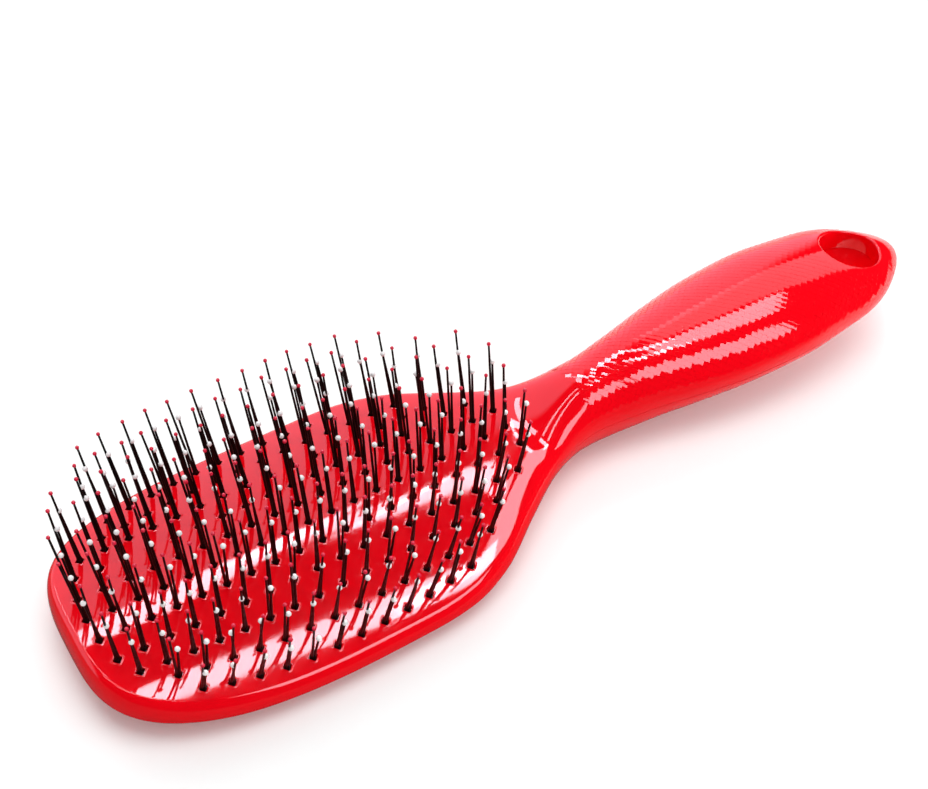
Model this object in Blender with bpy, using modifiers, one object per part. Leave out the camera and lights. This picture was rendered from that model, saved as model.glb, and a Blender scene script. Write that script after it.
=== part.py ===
"""A paddle hair brush with pairs of pins, lying on its back.

X runs along the brush from the head's end (-X) to the handle's tip (+X), Z points up out of
the bristle face, and the origin lies on the surface under the middle of the brush.
"""
import bpy
import bmesh
import math
from mathutils import Matrix, Vector

MM = 0.001

# Driving dimensions of the outline
HEAD_LENGTH = 119.0 * MM
HEAD_WIDTH = 70.0 * MM
NECK_LENGTH = 16.5 * MM
NECK_WIDTH = 20.8 * MM
HANDLE_LENGTH = 103.8 * MM
HANDLE_WIDTH = 36.8 * MM
TIP_ROUND = 24.0 * MM

# Driving heights above the surface that the brush lies on
FACE_HEIGHT = 14.0 * MM
FACE_DOME = 4.6 * MM
FACE_DIP = 1.6 * MM
HEAD_END_SEAM = 8.3 * MM
HEAD_SIDE_SEAM = 4.8 * MM
NECK_SEAM = 11.9 * MM
TIP_SEAM = 16.8 * MM
NECK_TOP = 22.0 * MM
HANDLE_TOP = 27.0 * MM
TIP_TOP = 21.0 * MM
TIP_BOTTOM = 12.0 * MM

# Edge between the bristle face and the side wall
RIDGE_INSET = 2.4 * MM
RIDGE_FILLET = 1.0 * MM
RIDGE_FILLET_INSET = 0.9 * MM
SIDE_LEAN = 0.25 * MM

# Walls of the two shells and the gap that pieces keep from each other
SIDE_WALL = 2.0 * MM
FACE_WALL = 1.6 * MM
BACK_WALL = 2.2 * MM
GAP = 0.3 * MM
CUT_OVERRUN = 1.5 * MM

# Hang hole
HANG_FROM_TIP = 16.7 * MM
HANG_LENGTH = 17.0 * MM
HANG_WIDTH = 15.4 * MM
HANG_BACK_LENGTH = 9.0 * MM
HANG_BACK_WIDTH = 8.0 * MM
HANG_COLLAR = 2.2 * MM

# Bristle rows: tufts in each row from the middle row outwards
ROW_TUFTS = (19, 19, 18, 16, 14, 12)
ROW_EDGE = 5.0 * MM
END_EDGE = 5.6 * MM
ROW_SHIFT_SHARES = (0.0, 0.07, -0.18, -0.67, -0.55, -0.99)
HEAD_BEND_SHARES = (0.0, 0.0, 0.0, 0.23, 0.54, 0.74)
NECK_BEND_SHARES = (0.0, 0.0, 0.0, 0.22, 0.28, 0.4)
BEND_POWER = 2.2

# Pins, their feet and the strip that carries a row of them
STRIP_WIDTH = 3.0 * MM
STRIP_THICKNESS = 1.6 * MM
FOOT_HALF = 1.25 * MM
FOOT_TOP_HALF = 0.85 * MM
FOOT_RISE = 1.2 * MM
FOOT_SINK = 0.6 * MM
HOLE_CLEARANCE = 0.3 * MM
LONG_PIN = 22.8 * MM
SHORT_PIN = 17.1 * MM
TIP_DIAMETER = 1.5 * MM
SHAFT_TAPER_SHARE = 0.62
LEAN_SHARE = -0.04
SPLAY_SHARE = 0.02

# Plate under the strips, and what holds it and joins the shells
PLATE_THICKNESS = 1.4 * MM
PLATE_MARGIN = 2.2 * MM
RIB_COUNT = 5
RIB_THICKNESS = 1.6 * MM
RIB_MARGIN = 3.0 * MM
POST_DIAMETER = 2.6 * MM
BOSS_WALL = 1.6 * MM
POST_OVERLAP = 3.0 * MM
POST_STATION_SHARES = (0.56, 0.80)

# Mesh fineness
STATIONS = 28
ACROSS_SHARES = (-1.0, -0.78, -0.48, -0.16, 0.16, 0.48, 0.78, 1.0)
END_SHARE = 0.035

# Shape tables as shares: (share of the span, share of the change)
FLARE_SHARES = ((0.0, 0.0), (0.2, 0.004), (0.32, 0.04), (0.47, 0.2), (0.63, 0.53),
                (0.79, 0.84), (0.87, 0.94), (0.95, 0.992), (1.0, 1.0))
SWELL_SHARES = ((0.0, 0.0), (0.136, 0.22), (0.282, 0.62), (0.427, 0.91), (0.572, 1.0),
                (0.717, 0.82), (0.863, 0.55), (1.0, 0.22))
HEAD_SEAM_SHARES = ((0.0, 0.0), (0.2, 0.26), (0.5, 0.77), (1.0, 1.0))
FLARE_SEAM_SHARES = ((0.0, 0.0), (0.33, 0.07), (0.63, 0.5), (0.79, 0.76), (1.0, 1.0))
HANDLE_SEAM_SHARES = ((0.0, 0.0), (0.19, 0.27), (0.43, 0.6), (0.6, 0.8), (0.87, 0.96), (1.0, 1.0))
NECK_RISE_SHARES = ((0.0, 0.0), (0.28, 0.13), (0.5, 0.4), (0.75, 0.76), (1.0, 1.0))
HANDLE_RISE_SHARES = ((0.0, 0.0), (0.14, 0.42), (0.29, 0.67), (0.43, 0.86), (0.6, 1.0))
TIP_FALL_SHARES = ((0.0, 0.0), (0.3, 0.1), (0.62, 0.37), (0.87, 0.76), (1.0, 1.0))
BOTTOM_RISE_SHARES = ((0.0, 0.0), (0.1, 0.06), (0.28, 0.28), (0.45, 0.45), (0.62, 0.61),
                      (0.87, 0.84), (1.0, 1.0))
END_LENGTH_POWER = 2.5
END_WIDTH_POWER = 3.3
BACK_POWER = 3.2
BACK_OVERFILL = 1.05
BLEND_START_SHARE = 0.38
FRONT_LEVEL_SHARES = (1.0, 0.975, 0.91, 0.79)
BACK_LEVEL_SHARES = (1.0, 0.985, 0.93, 0.8, 0.6)

# Derived places along the brush, measured from the head's end
HEAD_MIDDLE = HEAD_LENGTH / 2
NECK = HEAD_LENGTH + NECK_LENGTH
LENGTH = NECK + HANDLE_LENGTH
HANG_STATION = LENGTH - HANG_FROM_TIP
HANDLE_PEAK = NECK + HANDLE_LENGTH * HANDLE_RISE_SHARES[-1][0]
RISE_START = HEAD_LENGTH - END_EDGE
OUTER_ROW = len(ROW_TUFTS) - 1
ROW_PITCH = (HEAD_WIDTH / 2 - ROW_EDGE) / OUTER_ROW
TUFT_PITCH = (HEAD_LENGTH - 2 * END_EDGE) / (ROW_TUFTS[0] - 1)
LAST_TUFT = HEAD_LENGTH / 2 - END_EDGE
STRIP_TOP = FACE_WALL + GAP
STRIP_BOTTOM = STRIP_TOP + STRIP_THICKNESS
PLATE_TOP = STRIP_BOTTOM + GAP
HOLE_HALF = FOOT_HALF + HOLE_CLEARANCE * math.sqrt(2)


def curve_value(shares, position):
    """Read a smooth, monotone curve through a table of shares."""
    if position <= shares[0][0]:
        return shares[0][1]
    if position >= shares[-1][0]:
        return shares[-1][1]
    slopes = [(b[1] - a[1]) / (b[0] - a[0]) for a, b in zip(shares, shares[1:])]
    index = next(i for i, pair in enumerate(shares[1:]) if position <= pair[0])

    def tangent(knot):
        if knot == 0 or knot == len(slopes):
            return 0.0
        before, after = slopes[knot - 1], slopes[knot]
        return 0.0 if before * after <= 0 else 2 * before * after / (before + after)

    (start, low), (end, high) = shares[index], shares[index + 1]
    span = end - start
    t = (position - start) / span
    rise = tangent(index) * span
    settle = tangent(index + 1) * span
    return (low * (1 + 2 * t) * (1 - t) ** 2 + rise * t * (1 - t) ** 2
            + high * t * t * (3 - 2 * t) + settle * t * t * (t - 1))


def span_curve(shares, station, start, end, low, high):
    """Read a table of shares stretched over a span of stations and a range of values."""
    return low + (high - low) * curve_value(shares, (station - start) / (end - start))


def full_half_width(station):
    """Half-width of the outline before the handle's tip is rounded off."""
    head, neck, handle = HEAD_WIDTH / 2, NECK_WIDTH / 2, HANDLE_WIDTH / 2
    if station <= HEAD_MIDDLE:
        return head
    if station <= NECK:
        return span_curve(FLARE_SHARES, station, HEAD_MIDDLE, NECK, head, neck)
    return span_curve(SWELL_SHARES, station, NECK, LENGTH, neck, handle)


def half_width(station):
    """Half-width of the outline at the seam, closed and round at both ends."""
    station = min(max(station, 0.0), LENGTH)
    width = full_half_width(station)
    if station < HEAD_MIDDLE:
        reach = 1 - station / HEAD_MIDDLE
        return width * (1 - reach ** END_LENGTH_POWER) ** (1 / END_WIDTH_POWER)
    reach = max(0.0, 1 - (LENGTH - station) / TIP_ROUND)
    return width * math.sqrt(1 - reach * reach)


def seam_height(station):
    """Height of the seam between the shells, at the widest line of each section."""
    if station <= HEAD_MIDDLE:
        return span_curve(HEAD_SEAM_SHARES, station, 0.0, HEAD_MIDDLE, HEAD_END_SEAM, HEAD_SIDE_SEAM)
    if station <= NECK:
        return span_curve(FLARE_SEAM_SHARES, station, HEAD_MIDDLE, NECK, HEAD_SIDE_SEAM, NECK_SEAM)
    return span_curve(HANDLE_SEAM_SHARES, station, NECK, LENGTH, NECK_SEAM, TIP_SEAM)


def crown_height(station):
    """Height of the top along the brush's middle plane."""
    dip = FACE_DIP * ((station - HEAD_MIDDLE) / LAST_TUFT) ** 2
    if station <= RISE_START:
        return FACE_HEIGHT + dip
    start = FACE_HEIGHT + FACE_DIP
    if station <= NECK:
        return span_curve(NECK_RISE_SHARES, station, RISE_START, NECK, start, NECK_TOP)
    if station <= HANDLE_PEAK:
        share = HANDLE_RISE_SHARES[-1][0] * (station - NECK) / (HANDLE_PEAK - NECK)
        return NECK_TOP + (HANDLE_TOP - NECK_TOP) * curve_value(HANDLE_RISE_SHARES, share)
    return span_curve(TIP_FALL_SHARES, station, HANDLE_PEAK, LENGTH, HANDLE_TOP, TIP_TOP)


def bottom_height(station):
    """Height of the lowest line of the back."""
    if station <= NECK:
        return 0.0
    return span_curve(BOTTOM_RISE_SHARES, station, NECK, LENGTH, 0.0, TIP_BOTTOM)


def handle_blend(station):
    """0 where the section is the head's, 1 where it is the handle's."""
    start = HEAD_LENGTH * BLEND_START_SHARE + HEAD_MIDDLE * (1 - BLEND_START_SHARE)
    t = min(max((station - start) / (NECK - start), 0.0), 1.0)
    return t * t * (3 - 2 * t)


def face_height(station, y):
    """Height of the domed bristle face."""
    outer = ROW_PITCH * OUTER_ROW
    return crown_height(station) - FACE_DOME * (y / outer) ** 2


def top_height(station, y, side_wall, top_wall):
    """Height of the front shell's outer surface, or of its inner one for a wall's thickness."""
    blend = handle_blend(station)
    seam = seam_height(station)
    share = min(abs(y) / max(half_width(station) - side_wall, side_wall + GAP), 1.0)
    arch = seam + (crown_height(station) - top_wall - seam) * math.sqrt(1 - share * share)
    return (1 - blend) * (face_height(station, y) - top_wall) + blend * arch


def surface_height(station, y):
    """Height of the front shell's outer surface."""
    return top_height(station, y, 0.0, 0.0)


def back_height(station, share, wall):
    """Height of the back at a share of the half-width, pressed flat where it meets the surface."""
    blend = handle_blend(station)
    seam, bottom = seam_height(station), bottom_height(station) + wall
    head = BACK_OVERFILL * math.sqrt(1 - share ** BACK_POWER)
    handle = math.sqrt(1 - share * share)
    return max(bottom, seam - (seam - bottom) * ((1 - blend) * head + blend * handle))


def station_of_width(width, start, end):
    """Find the station between start and end where the outline is as wide as asked."""
    low, high = start, end
    for _ in range(50):
        middle = (low + high) / 2
        if (half_width(middle) < width) == (start < end and half_width(start) < half_width(end)):
            low = middle
        else:
            high = middle
    return (low + high) / 2


def outline_points():
    """Points of the outline, keyed by their place (i, j) on the rim of a grid."""
    first, last = LENGTH * END_SHARE, LENGTH * (1 - END_SHARE)
    across = len(ACROSS_SHARES) - 1
    points = {}
    for i in range(STATIONS + 1):
        station = first + (last - first) * i / STATIONS
        points[i, 0] = (station, -half_width(station))
        points[i, across] = (station, half_width(station))
    for j, share in enumerate(ACROSS_SHARES[1:-1], start=1):
        head_y, tip_y = share * half_width(first), share * half_width(last)
        points[0, j] = (station_of_width(abs(head_y), 0.0, first), head_y)
        points[STATIONS, j] = (station_of_width(abs(tip_y), last, LENGTH), tip_y)
    return points


def rim_keys():
    """Grid places round the rim, anticlockwise seen from above."""
    across = len(ACROSS_SHARES) - 1
    near = [(i, 0) for i in range(STATIONS)]
    tip = [(STATIONS, j) for j in range(across)]
    far = [(i, across) for i in range(STATIONS, 0, -1)]
    head = [(0, j) for j in range(across, 0, -1)]
    return near + tip + far + head


def inset_rim(outline, inset_of):
    """Move each outline point inwards, square to the outline, by an inset that may vary."""
    keys = rim_keys()
    moved = {}
    for index, key in enumerate(keys):
        before = Vector(outline[keys[index - 1]])
        after = Vector(outline[keys[(index + 1) % len(keys)]])
        along = (after - before).normalized()
        station, y = outline[key]
        inset = inset_of(station)
        moved[key] = (station - along.y * inset, y + along.x * inset)
    return moved


def fill_grid(rim):
    """Fill a rim of (station, y) pairs with a grid, as a Coons patch does."""
    across = len(ACROSS_SHARES) - 1
    grid = dict(rim)
    for i in range(1, STATIONS):
        u = i / STATIONS
        for j in range(1, across):
            v = (ACROSS_SHARES[j] + 1) / 2
            grid[i, j] = tuple(
                (1 - v) * rim[i, 0][a] + v * rim[i, across][a]
                + (1 - u) * rim[0, j][a] + u * rim[STATIONS, j][a]
                - (1 - u) * (1 - v) * rim[0, 0][a] - u * (1 - v) * rim[STATIONS, 0][a]
                - (1 - u) * v * rim[0, across][a] - u * v * rim[STATIONS, across][a]
                for a in range(2))
    return grid


def to_world(station, y, z):
    """Turn a station from the head's end into world coordinates."""
    return Vector((station - LENGTH / 2, y, z))


def half_solid(name, levels, cap_height, seam_shift, collection):
    """Loft a closed solid from the seam through levels of the outline to a gridded cap.

    Each level gives an inset for a station and a height for a station and a y.
    """
    outline = outline_points()
    keys = rim_keys()
    mesh = bmesh.new()
    rings = []
    for number, (inset_of, height_of) in enumerate(levels):
        rim = inset_rim(outline, inset_of)
        ring = {}
        for key in keys:
            station, y = rim[key]
            shift = seam_shift if number == 0 else 0.0
            ring[key] = mesh.verts.new(to_world(station, y, height_of(station, y) + shift))
        rings.append((rim, ring))
    for (_, lower), (_, upper) in zip(rings, rings[1:]):
        for a, b in zip(keys, keys[1:] + keys[:1]):
            mesh.faces.new((lower[a], lower[b], upper[b], upper[a]))
    caps = ((rings[0], lambda s, y: seam_height(s) + seam_shift), (rings[-1], cap_height))
    for (rim, ring), height_of in caps:
        grid = fill_grid(rim)
        verts = {}
        for key, (station, y) in grid.items():
            verts[key] = ring.get(key) or mesh.verts.new(to_world(station, y, height_of(station, y)))
        for i in range(STATIONS):
            for j in range(len(ACROSS_SHARES) - 1):
                mesh.faces.new((verts[i, j], verts[i + 1, j], verts[i + 1, j + 1], verts[i, j + 1]))
    bmesh.ops.recalc_face_normals(mesh, faces=mesh.faces)
    return mesh_object(name, mesh, collection)


def front_levels(side_wall, top_wall):
    """Levels of the front shell from the seam to the ridge round the bristle face."""
    inner = side_wall > 0

    def ridge(station):
        return top_height(station, half_width(station) - RIDGE_INSET, side_wall, top_wall)

    def inset(head, share):
        head_inset = side_wall + (head / 2 if inner else head)

        def value(station):
            handle = side_wall + (full_half_width(station) - side_wall) * (1 - share)
            blend = handle_blend(station)
            return (1 - blend) * head_inset + blend * handle
        return value

    def height(head_of, share):
        def value(station, y):
            seam = seam_height(station)
            arch = seam + (crown_height(station) - top_wall - seam) * math.sqrt(1 - share * share)
            blend = handle_blend(station)
            return (1 - blend) * head_of(station, y) + blend * arch
        return value

    def seam(station, _):
        return seam_height(station)

    def side(station, _):
        return (seam_height(station) + ridge(station)) / 2

    def fillet(station, _):
        return ridge(station) - RIDGE_FILLET

    def edge(station, y):
        return face_height(station, y) - top_wall

    insets = (0.0, SIDE_LEAN, RIDGE_FILLET_INSET, RIDGE_INSET)
    heights = (seam, side, fillet, edge)
    return [(inset(head_inset, share), height(head_of, share))
            for head_inset, head_of, share in zip(insets, heights, FRONT_LEVEL_SHARES)]


def back_levels(side_wall, back_wall):
    """Levels of the back shell from the seam down to its flat."""
    def level(share):
        def inset(station):
            return side_wall + (full_half_width(station) - side_wall) * (1 - share)

        return inset, lambda station, y: back_height(station, share, back_wall)
    return [level(share) for share in BACK_LEVEL_SHARES]


def new_collection(name):
    collection = bpy.data.collections.new(name)
    bpy.context.scene.collection.children.link(collection)
    return collection


def mesh_object(name, mesh, collection):
    """Make an object of a bmesh and free the bmesh."""
    data = bpy.data.meshes.new(name)
    mesh.to_mesh(data)
    mesh.free()
    thing = bpy.data.objects.new(name, data)
    collection.objects.link(thing)
    return thing


def cutter(thing):
    """Mark an object as a cutter that is neither rendered nor built."""
    thing.hide_render = True
    thing.display_type = "WIRE"
    return thing


def combine(target, other, operation):
    """Cut another object out of the target, or join it on."""
    modifier = target.modifiers.new(other.name, "BOOLEAN")
    modifier.operation = operation
    modifier.solver = "EXACT"
    modifier.object = cutter(other)


def material(name, color, roughness, coat=0.0):
    """Make a plain plastic finish."""
    finish = bpy.data.materials.new(name)
    finish.use_nodes = True
    shader = finish.node_tree.nodes["Principled BSDF"]
    shader.inputs["Base Color"].default_value = (*color, 1.0)
    shader.inputs["Roughness"].default_value = roughness
    shader.inputs["Metallic"].default_value = 0.0
    shader.inputs["Coat Weight"].default_value = coat
    return finish


def elliptic_column(name, length, width, collection, low, high, station):
    """Make an upright elliptic column at a station on the middle plane."""
    mesh = bmesh.new()
    bmesh.ops.create_cone(mesh, cap_ends=True, segments=32, radius1=1, radius2=1, depth=1)
    bmesh.ops.scale(mesh, verts=mesh.verts, vec=(length / 2, width / 2, high - low))
    bmesh.ops.translate(mesh, verts=mesh.verts, vec=to_world(station, 0.0, (low + high) / 2))
    return mesh_object(name, mesh, collection)


def round_column(name, diameter, collection, low, high, station, segments=16):
    """Make an upright round column at a station on the middle plane."""
    mesh = bmesh.new()
    bmesh.ops.create_cone(mesh, cap_ends=True, segments=segments, radius1=diameter / 2,
                          radius2=diameter / 2, depth=high - low)
    bmesh.ops.translate(mesh, verts=mesh.verts, vec=to_world(station, 0.0, (low + high) / 2))
    return mesh_object(name, mesh, collection)


def row_y(row, place):
    """Distance of a row from the middle at a place from -1, its head end, to 1, its neck end."""
    bends = HEAD_BEND_SHARES if place < 0 else NECK_BEND_SHARES
    number = abs(row)
    y = ROW_PITCH * (number - bends[number] * abs(place) ** BEND_POWER)
    return math.copysign(y, row) if row else 0.0


def row_point(row, step):
    """Station and y at a step along a row, counted in tufts from its first one."""
    half = (ROW_TUFTS[abs(row)] - 1) / 2
    place = (step - half) / half
    station = HEAD_MIDDLE + (step - half + ROW_SHIFT_SHARES[abs(row)]) * TUFT_PITCH
    return station, row_y(row, place)


def face_frame(station, y):
    """Frame on the bristle face: X along the brush, Z square to the face, and the origin on it."""
    step = GAP
    rise = (surface_height(station + step, y) - surface_height(station - step, y)) / (2 * step)
    lean = (surface_height(station, y + step) - surface_height(station, y - step)) / (2 * step)
    normal = Vector((-rise, -lean, 1.0)).normalized()
    along = Vector((1.0, 0.0, rise)).normalized()
    across = normal.cross(along)
    frame = Matrix((along, across, normal)).transposed().to_4x4()
    frame.translation = to_world(station, y, surface_height(station, y))
    return frame


def tufts(row):
    """Frames of the tufts of one row."""
    return [face_frame(*row_point(row, step)) for step in range(ROW_TUFTS[abs(row)])]


def diamond(mesh, frame, half_low, half_high, low, high):
    """Add a four-sided frustum whose corners point along and across the row."""
    height = high - low
    place = frame @ Matrix.Translation((0.0, 0.0, (low + high) / 2))
    made = bmesh.ops.create_cone(mesh, cap_ends=True, segments=4, radius1=half_low,
                                 radius2=half_high, depth=height, matrix=place)
    return made["verts"]


def grow_pin(mesh, face, frame, length, side):
    """Grow one pin with its round tip out of a foot's half, square to the face across the row."""
    normal = frame.to_3x3().col[2]
    lean = normal.z * (LEAN_SHARE + side * SPLAY_SHARE)
    direction = Vector((lean, normal.y, normal.z)).normalized()
    middle = face.calc_center_median()
    radius = TIP_DIAMETER / 2
    shaft = length - FOOT_RISE - TIP_DIAMETER
    stages = ((shaft, None), (shaft + radius, radius))
    for distance, ring_radius in stages:
        face = bmesh.ops.extrude_discrete_faces(mesh, faces=[face])["faces"][0]
        centre = middle + direction * distance
        old = face.calc_center_median()
        for vert in face.verts:
            offset = vert.co - old
            if ring_radius is None:
                vert.co = centre + offset * SHAFT_TAPER_SHARE
            else:
                vert.co = centre + offset.normalized() * ring_radius
    crown = bmesh.ops.poke(mesh, faces=[face])["verts"][0]
    crown.co = middle + direction * (shaft + TIP_DIAMETER)


def tuft_rows(row, collection):
    """Make all feet and pins of one row, each tuft a closed body."""
    mesh = bmesh.new()
    for frame in tufts(row):
        verts = diamond(mesh, frame, FOOT_HALF, FOOT_TOP_HALF, -STRIP_TOP - FOOT_SINK, FOOT_RISE)
        inverse = frame.inverted()
        top = [vert for vert in verts if (inverse @ vert.co).z > 0]
        top.sort(key=lambda vert: abs((inverse @ vert.co).x))
        bmesh.ops.connect_verts(mesh, verts=top[:2])
        halves = [face for face in mesh.faces if set(top[:2]) <= set(face.verts)
                  and all(vert in top for vert in face.verts)]
        for face in halves:
            side = (inverse @ face.calc_center_median()).x
            length = LONG_PIN if side < 0 else SHORT_PIN
            grow_pin(mesh, face, frame, length, math.copysign(1.0, side))
    bmesh.ops.recalc_face_normals(mesh, faces=mesh.faces)
    return mesh_object(f"tufts_{row + OUTER_ROW + 1:02d}", mesh, collection)


def strip_bar(row, name, collection):
    """Make the bar that carries one row, bent with the row and level with the face."""
    count = ROW_TUFTS[abs(row)]
    end = STRIP_WIDTH / 2 / TUFT_PITCH
    steps = [-end] + [step + 0.5 for step in range(1, count - 2, 2)] + [count - 1 + end]
    mesh = bmesh.new()
    section = [mesh.verts.new((0.0, side * STRIP_WIDTH / 2, -depth))
               for side, depth in ((-1, STRIP_BOTTOM), (1, STRIP_BOTTOM), (1, STRIP_TOP), (-1, STRIP_TOP))]
    start = mesh.faces.new(section)
    local = [vert.co.copy() for vert in section]
    ring = section
    for number, step in enumerate(steps):
        frame = face_frame(*row_point(row, step))
        if number:
            face = bmesh.ops.extrude_discrete_faces(mesh, faces=[start])["faces"][0]
            ring, start = list(face.verts), face
        for vert, place in zip(ring, local):
            vert.co = frame @ place
        if number == 0:
            back = bmesh.ops.duplicate(mesh, geom=[start])["geom"]
            bmesh.ops.reverse_faces(mesh, faces=[item for item in back if isinstance(item, bmesh.types.BMFace)])
    bmesh.ops.remove_doubles(mesh, verts=mesh.verts, dist=GAP / 100)
    bmesh.ops.recalc_face_normals(mesh, faces=mesh.faces)
    return mesh_object(name, mesh, collection)


def make_strips(collection, cutters, finish):
    """Make the eleven strips of pins."""
    for row in range(-OUTER_ROW, OUTER_ROW + 1):
        name = f"bristle_strip_{row + OUTER_ROW + 1:02d}"
        strip = strip_bar(row, name, collection)
        combine(strip, tuft_rows(row, cutters), "UNION")
        strip.data.materials.append(finish)


def hole_cutter(collection):
    """Make the diamond holes of the bristle face as one cutter."""
    mesh = bmesh.new()
    for row in range(-OUTER_ROW, OUTER_ROW + 1):
        for frame in tufts(row):
            diamond(mesh, frame, HOLE_HALF, HOLE_HALF, -FACE_WALL - CUT_OVERRUN, CUT_OVERRUN)
    return mesh_object("pin_holes", mesh, collection)


def cavity(name, levels, cap_height, seam_shift, cutters):
    """Make the inner space of a shell, which leaves a collar round the hang hole."""
    space = half_solid(name, levels, cap_height, seam_shift, cutters)
    collar = elliptic_column(f"{name}_collar", HANG_LENGTH + 2 * HANG_COLLAR, HANG_WIDTH + 2 * HANG_COLLAR,
                             cutters, -CUT_OVERRUN, HANDLE_TOP + CUT_OVERRUN, HANG_STATION)
    combine(space, collar, "DIFFERENCE")
    return space


def front_bore(cutters):
    """Make the straight part of the hang hole, down to the seam."""
    return elliptic_column("front_bore", HANG_LENGTH, HANG_WIDTH, cutters, -CUT_OVERRUN,
                           HANDLE_TOP + CUT_OVERRUN, HANG_STATION)


def back_bore(cutters):
    """Make the part of the hang hole that narrows from the seam to the back's surface."""
    bore = elliptic_column("back_bore", HANG_LENGTH, HANG_WIDTH, cutters, bottom_height(HANG_STATION),
                           seam_height(HANG_STATION), HANG_STATION)
    middle = to_world(HANG_STATION, 0.0, 0.0)
    for vert in bore.data.vertices:
        if vert.co.z < seam_height(HANG_STATION) - GAP:
            vert.co.x = middle.x + (vert.co.x - middle.x) * HANG_BACK_LENGTH / HANG_LENGTH
            vert.co.y = vert.co.y * HANG_BACK_WIDTH / HANG_WIDTH
    for name, length, width, low, high in (
            ("back_bore_top", HANG_LENGTH, HANG_WIDTH, seam_height(HANG_STATION), HANDLE_TOP),
            ("back_bore_foot", HANG_BACK_LENGTH, HANG_BACK_WIDTH, -CUT_OVERRUN, bottom_height(HANG_STATION))):
        combine(bore, elliptic_column(name, length, width, cutters, low, high, HANG_STATION), "UNION")
    return bore


def post_stations():
    return [LENGTH * share for share in POST_STATION_SHARES]


def make_front_shell(collection, cutters, finish):
    """Make the front shell: bristle face, side walls, and the handle's upper half."""
    def inner_cap(station, y):
        return top_height(station, y, SIDE_WALL, FACE_WALL)

    shell = half_solid("front_shell", front_levels(0.0, 0.0), surface_height, GAP / 2, collection)
    space = cavity("front_cavity", front_levels(SIDE_WALL, FACE_WALL), inner_cap, -CUT_OVERRUN, cutters)
    combine(shell, space, "DIFFERENCE")
    for number, station in enumerate(post_stations(), start=1):
        seam = seam_height(station)
        radius = POST_DIAMETER / 2 + GAP + BOSS_WALL
        roof = min(surface_height(station + side * radius, radius) for side in (-1, 1))
        boss = round_column(f"boss_{number}", 2 * radius, cutters, seam + GAP, roof - FACE_WALL / 2, station)
        bore = round_column(f"boss_bore_{number}", POST_DIAMETER + 2 * GAP, cutters,
                            seam - CUT_OVERRUN, seam + POST_OVERLAP + 2 * GAP, station)
        combine(shell, boss, "UNION")
        combine(shell, bore, "DIFFERENCE")
    combine(shell, hole_cutter(cutters), "DIFFERENCE")
    combine(shell, front_bore(cutters), "DIFFERENCE")
    shell.data.materials.append(finish)


def plate_outline(station):
    """Half-width of the plate under the strips, clear of the round head end and the neck."""
    widths = [half_width(station - PLATE_MARGIN), half_width(station + 2 * PLATE_MARGIN)]
    return min(widths) - SIDE_WALL - PLATE_MARGIN


def plate_span():
    """First and last station of the plate under the strips."""
    return (HEAD_MIDDLE - LAST_TUFT - STRIP_WIDTH / 2, HEAD_MIDDLE + LAST_TUFT + STRIP_WIDTH / 2)


def domed_sheet(mesh, stations, half_of, depth):
    """Add an open sheet that follows the face at a depth below it."""
    rows = []
    for station in stations:
        half = half_of(station)
        across = [half * share for share in ACROSS_SHARES]
        rows.append([mesh.verts.new(to_world(station, y, surface_height(station, y) - depth)) for y in across])
    for one, two in zip(rows, rows[1:]):
        for j in range(len(ACROSS_SHARES) - 1):
            mesh.faces.new((one[j], two[j], two[j + 1], one[j + 1]))


def make_backing_plate(collection, finish):
    """Make the domed plate that holds the strips up against the bristle face."""
    first, last = plate_span()
    count = STATIONS // 3
    stations = [first + (last - first) * i / count for i in range(count + 1)]
    mesh = bmesh.new()
    domed_sheet(mesh, stations, plate_outline, PLATE_TOP)
    plate = mesh_object("backing_plate", mesh, collection)
    wall = plate.modifiers.new("thickness", "SOLIDIFY")
    wall.thickness = PLATE_THICKNESS
    wall.offset = -1.0
    plate.data.materials.append(finish)


def rib(name, station, cutters):
    """Make a cross rib from the back shell's floor up to the plate."""
    half = plate_outline(station) - RIB_MARGIN
    width = half_width(station)
    plate_bottom = PLATE_TOP + PLATE_THICKNESS

    def low(share):
        return back_height(station, abs(share) * half / width, BACK_WALL / 2)

    def high(share):
        return surface_height(station, half * share) - plate_bottom - GAP

    mesh = bmesh.new()
    sides = []
    for x in (station - RIB_THICKNESS / 2, station + RIB_THICKNESS / 2):
        top = [mesh.verts.new(to_world(x, half * share, high(share))) for share in ACROSS_SHARES]
        bottom = [mesh.verts.new(to_world(x, half * share, low(share))) for share in ACROSS_SHARES]
        sides.append((top, bottom))
    (top_a, bottom_a), (top_b, bottom_b) = sides
    for j in range(len(ACROSS_SHARES) - 1):
        mesh.faces.new((top_a[j], top_a[j + 1], top_b[j + 1], top_b[j]))
        mesh.faces.new((bottom_a[j], bottom_b[j], bottom_b[j + 1], bottom_a[j + 1]))
        mesh.faces.new((top_a[j], bottom_a[j], bottom_a[j + 1], top_a[j + 1]))
        mesh.faces.new((top_b[j], top_b[j + 1], bottom_b[j + 1], bottom_b[j]))
    for j in (0, -1):
        mesh.faces.new((top_a[j], top_b[j], bottom_b[j], bottom_a[j]))
    bmesh.ops.recalc_face_normals(mesh, faces=mesh.faces)
    return mesh_object(name, mesh, cutters)


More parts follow.
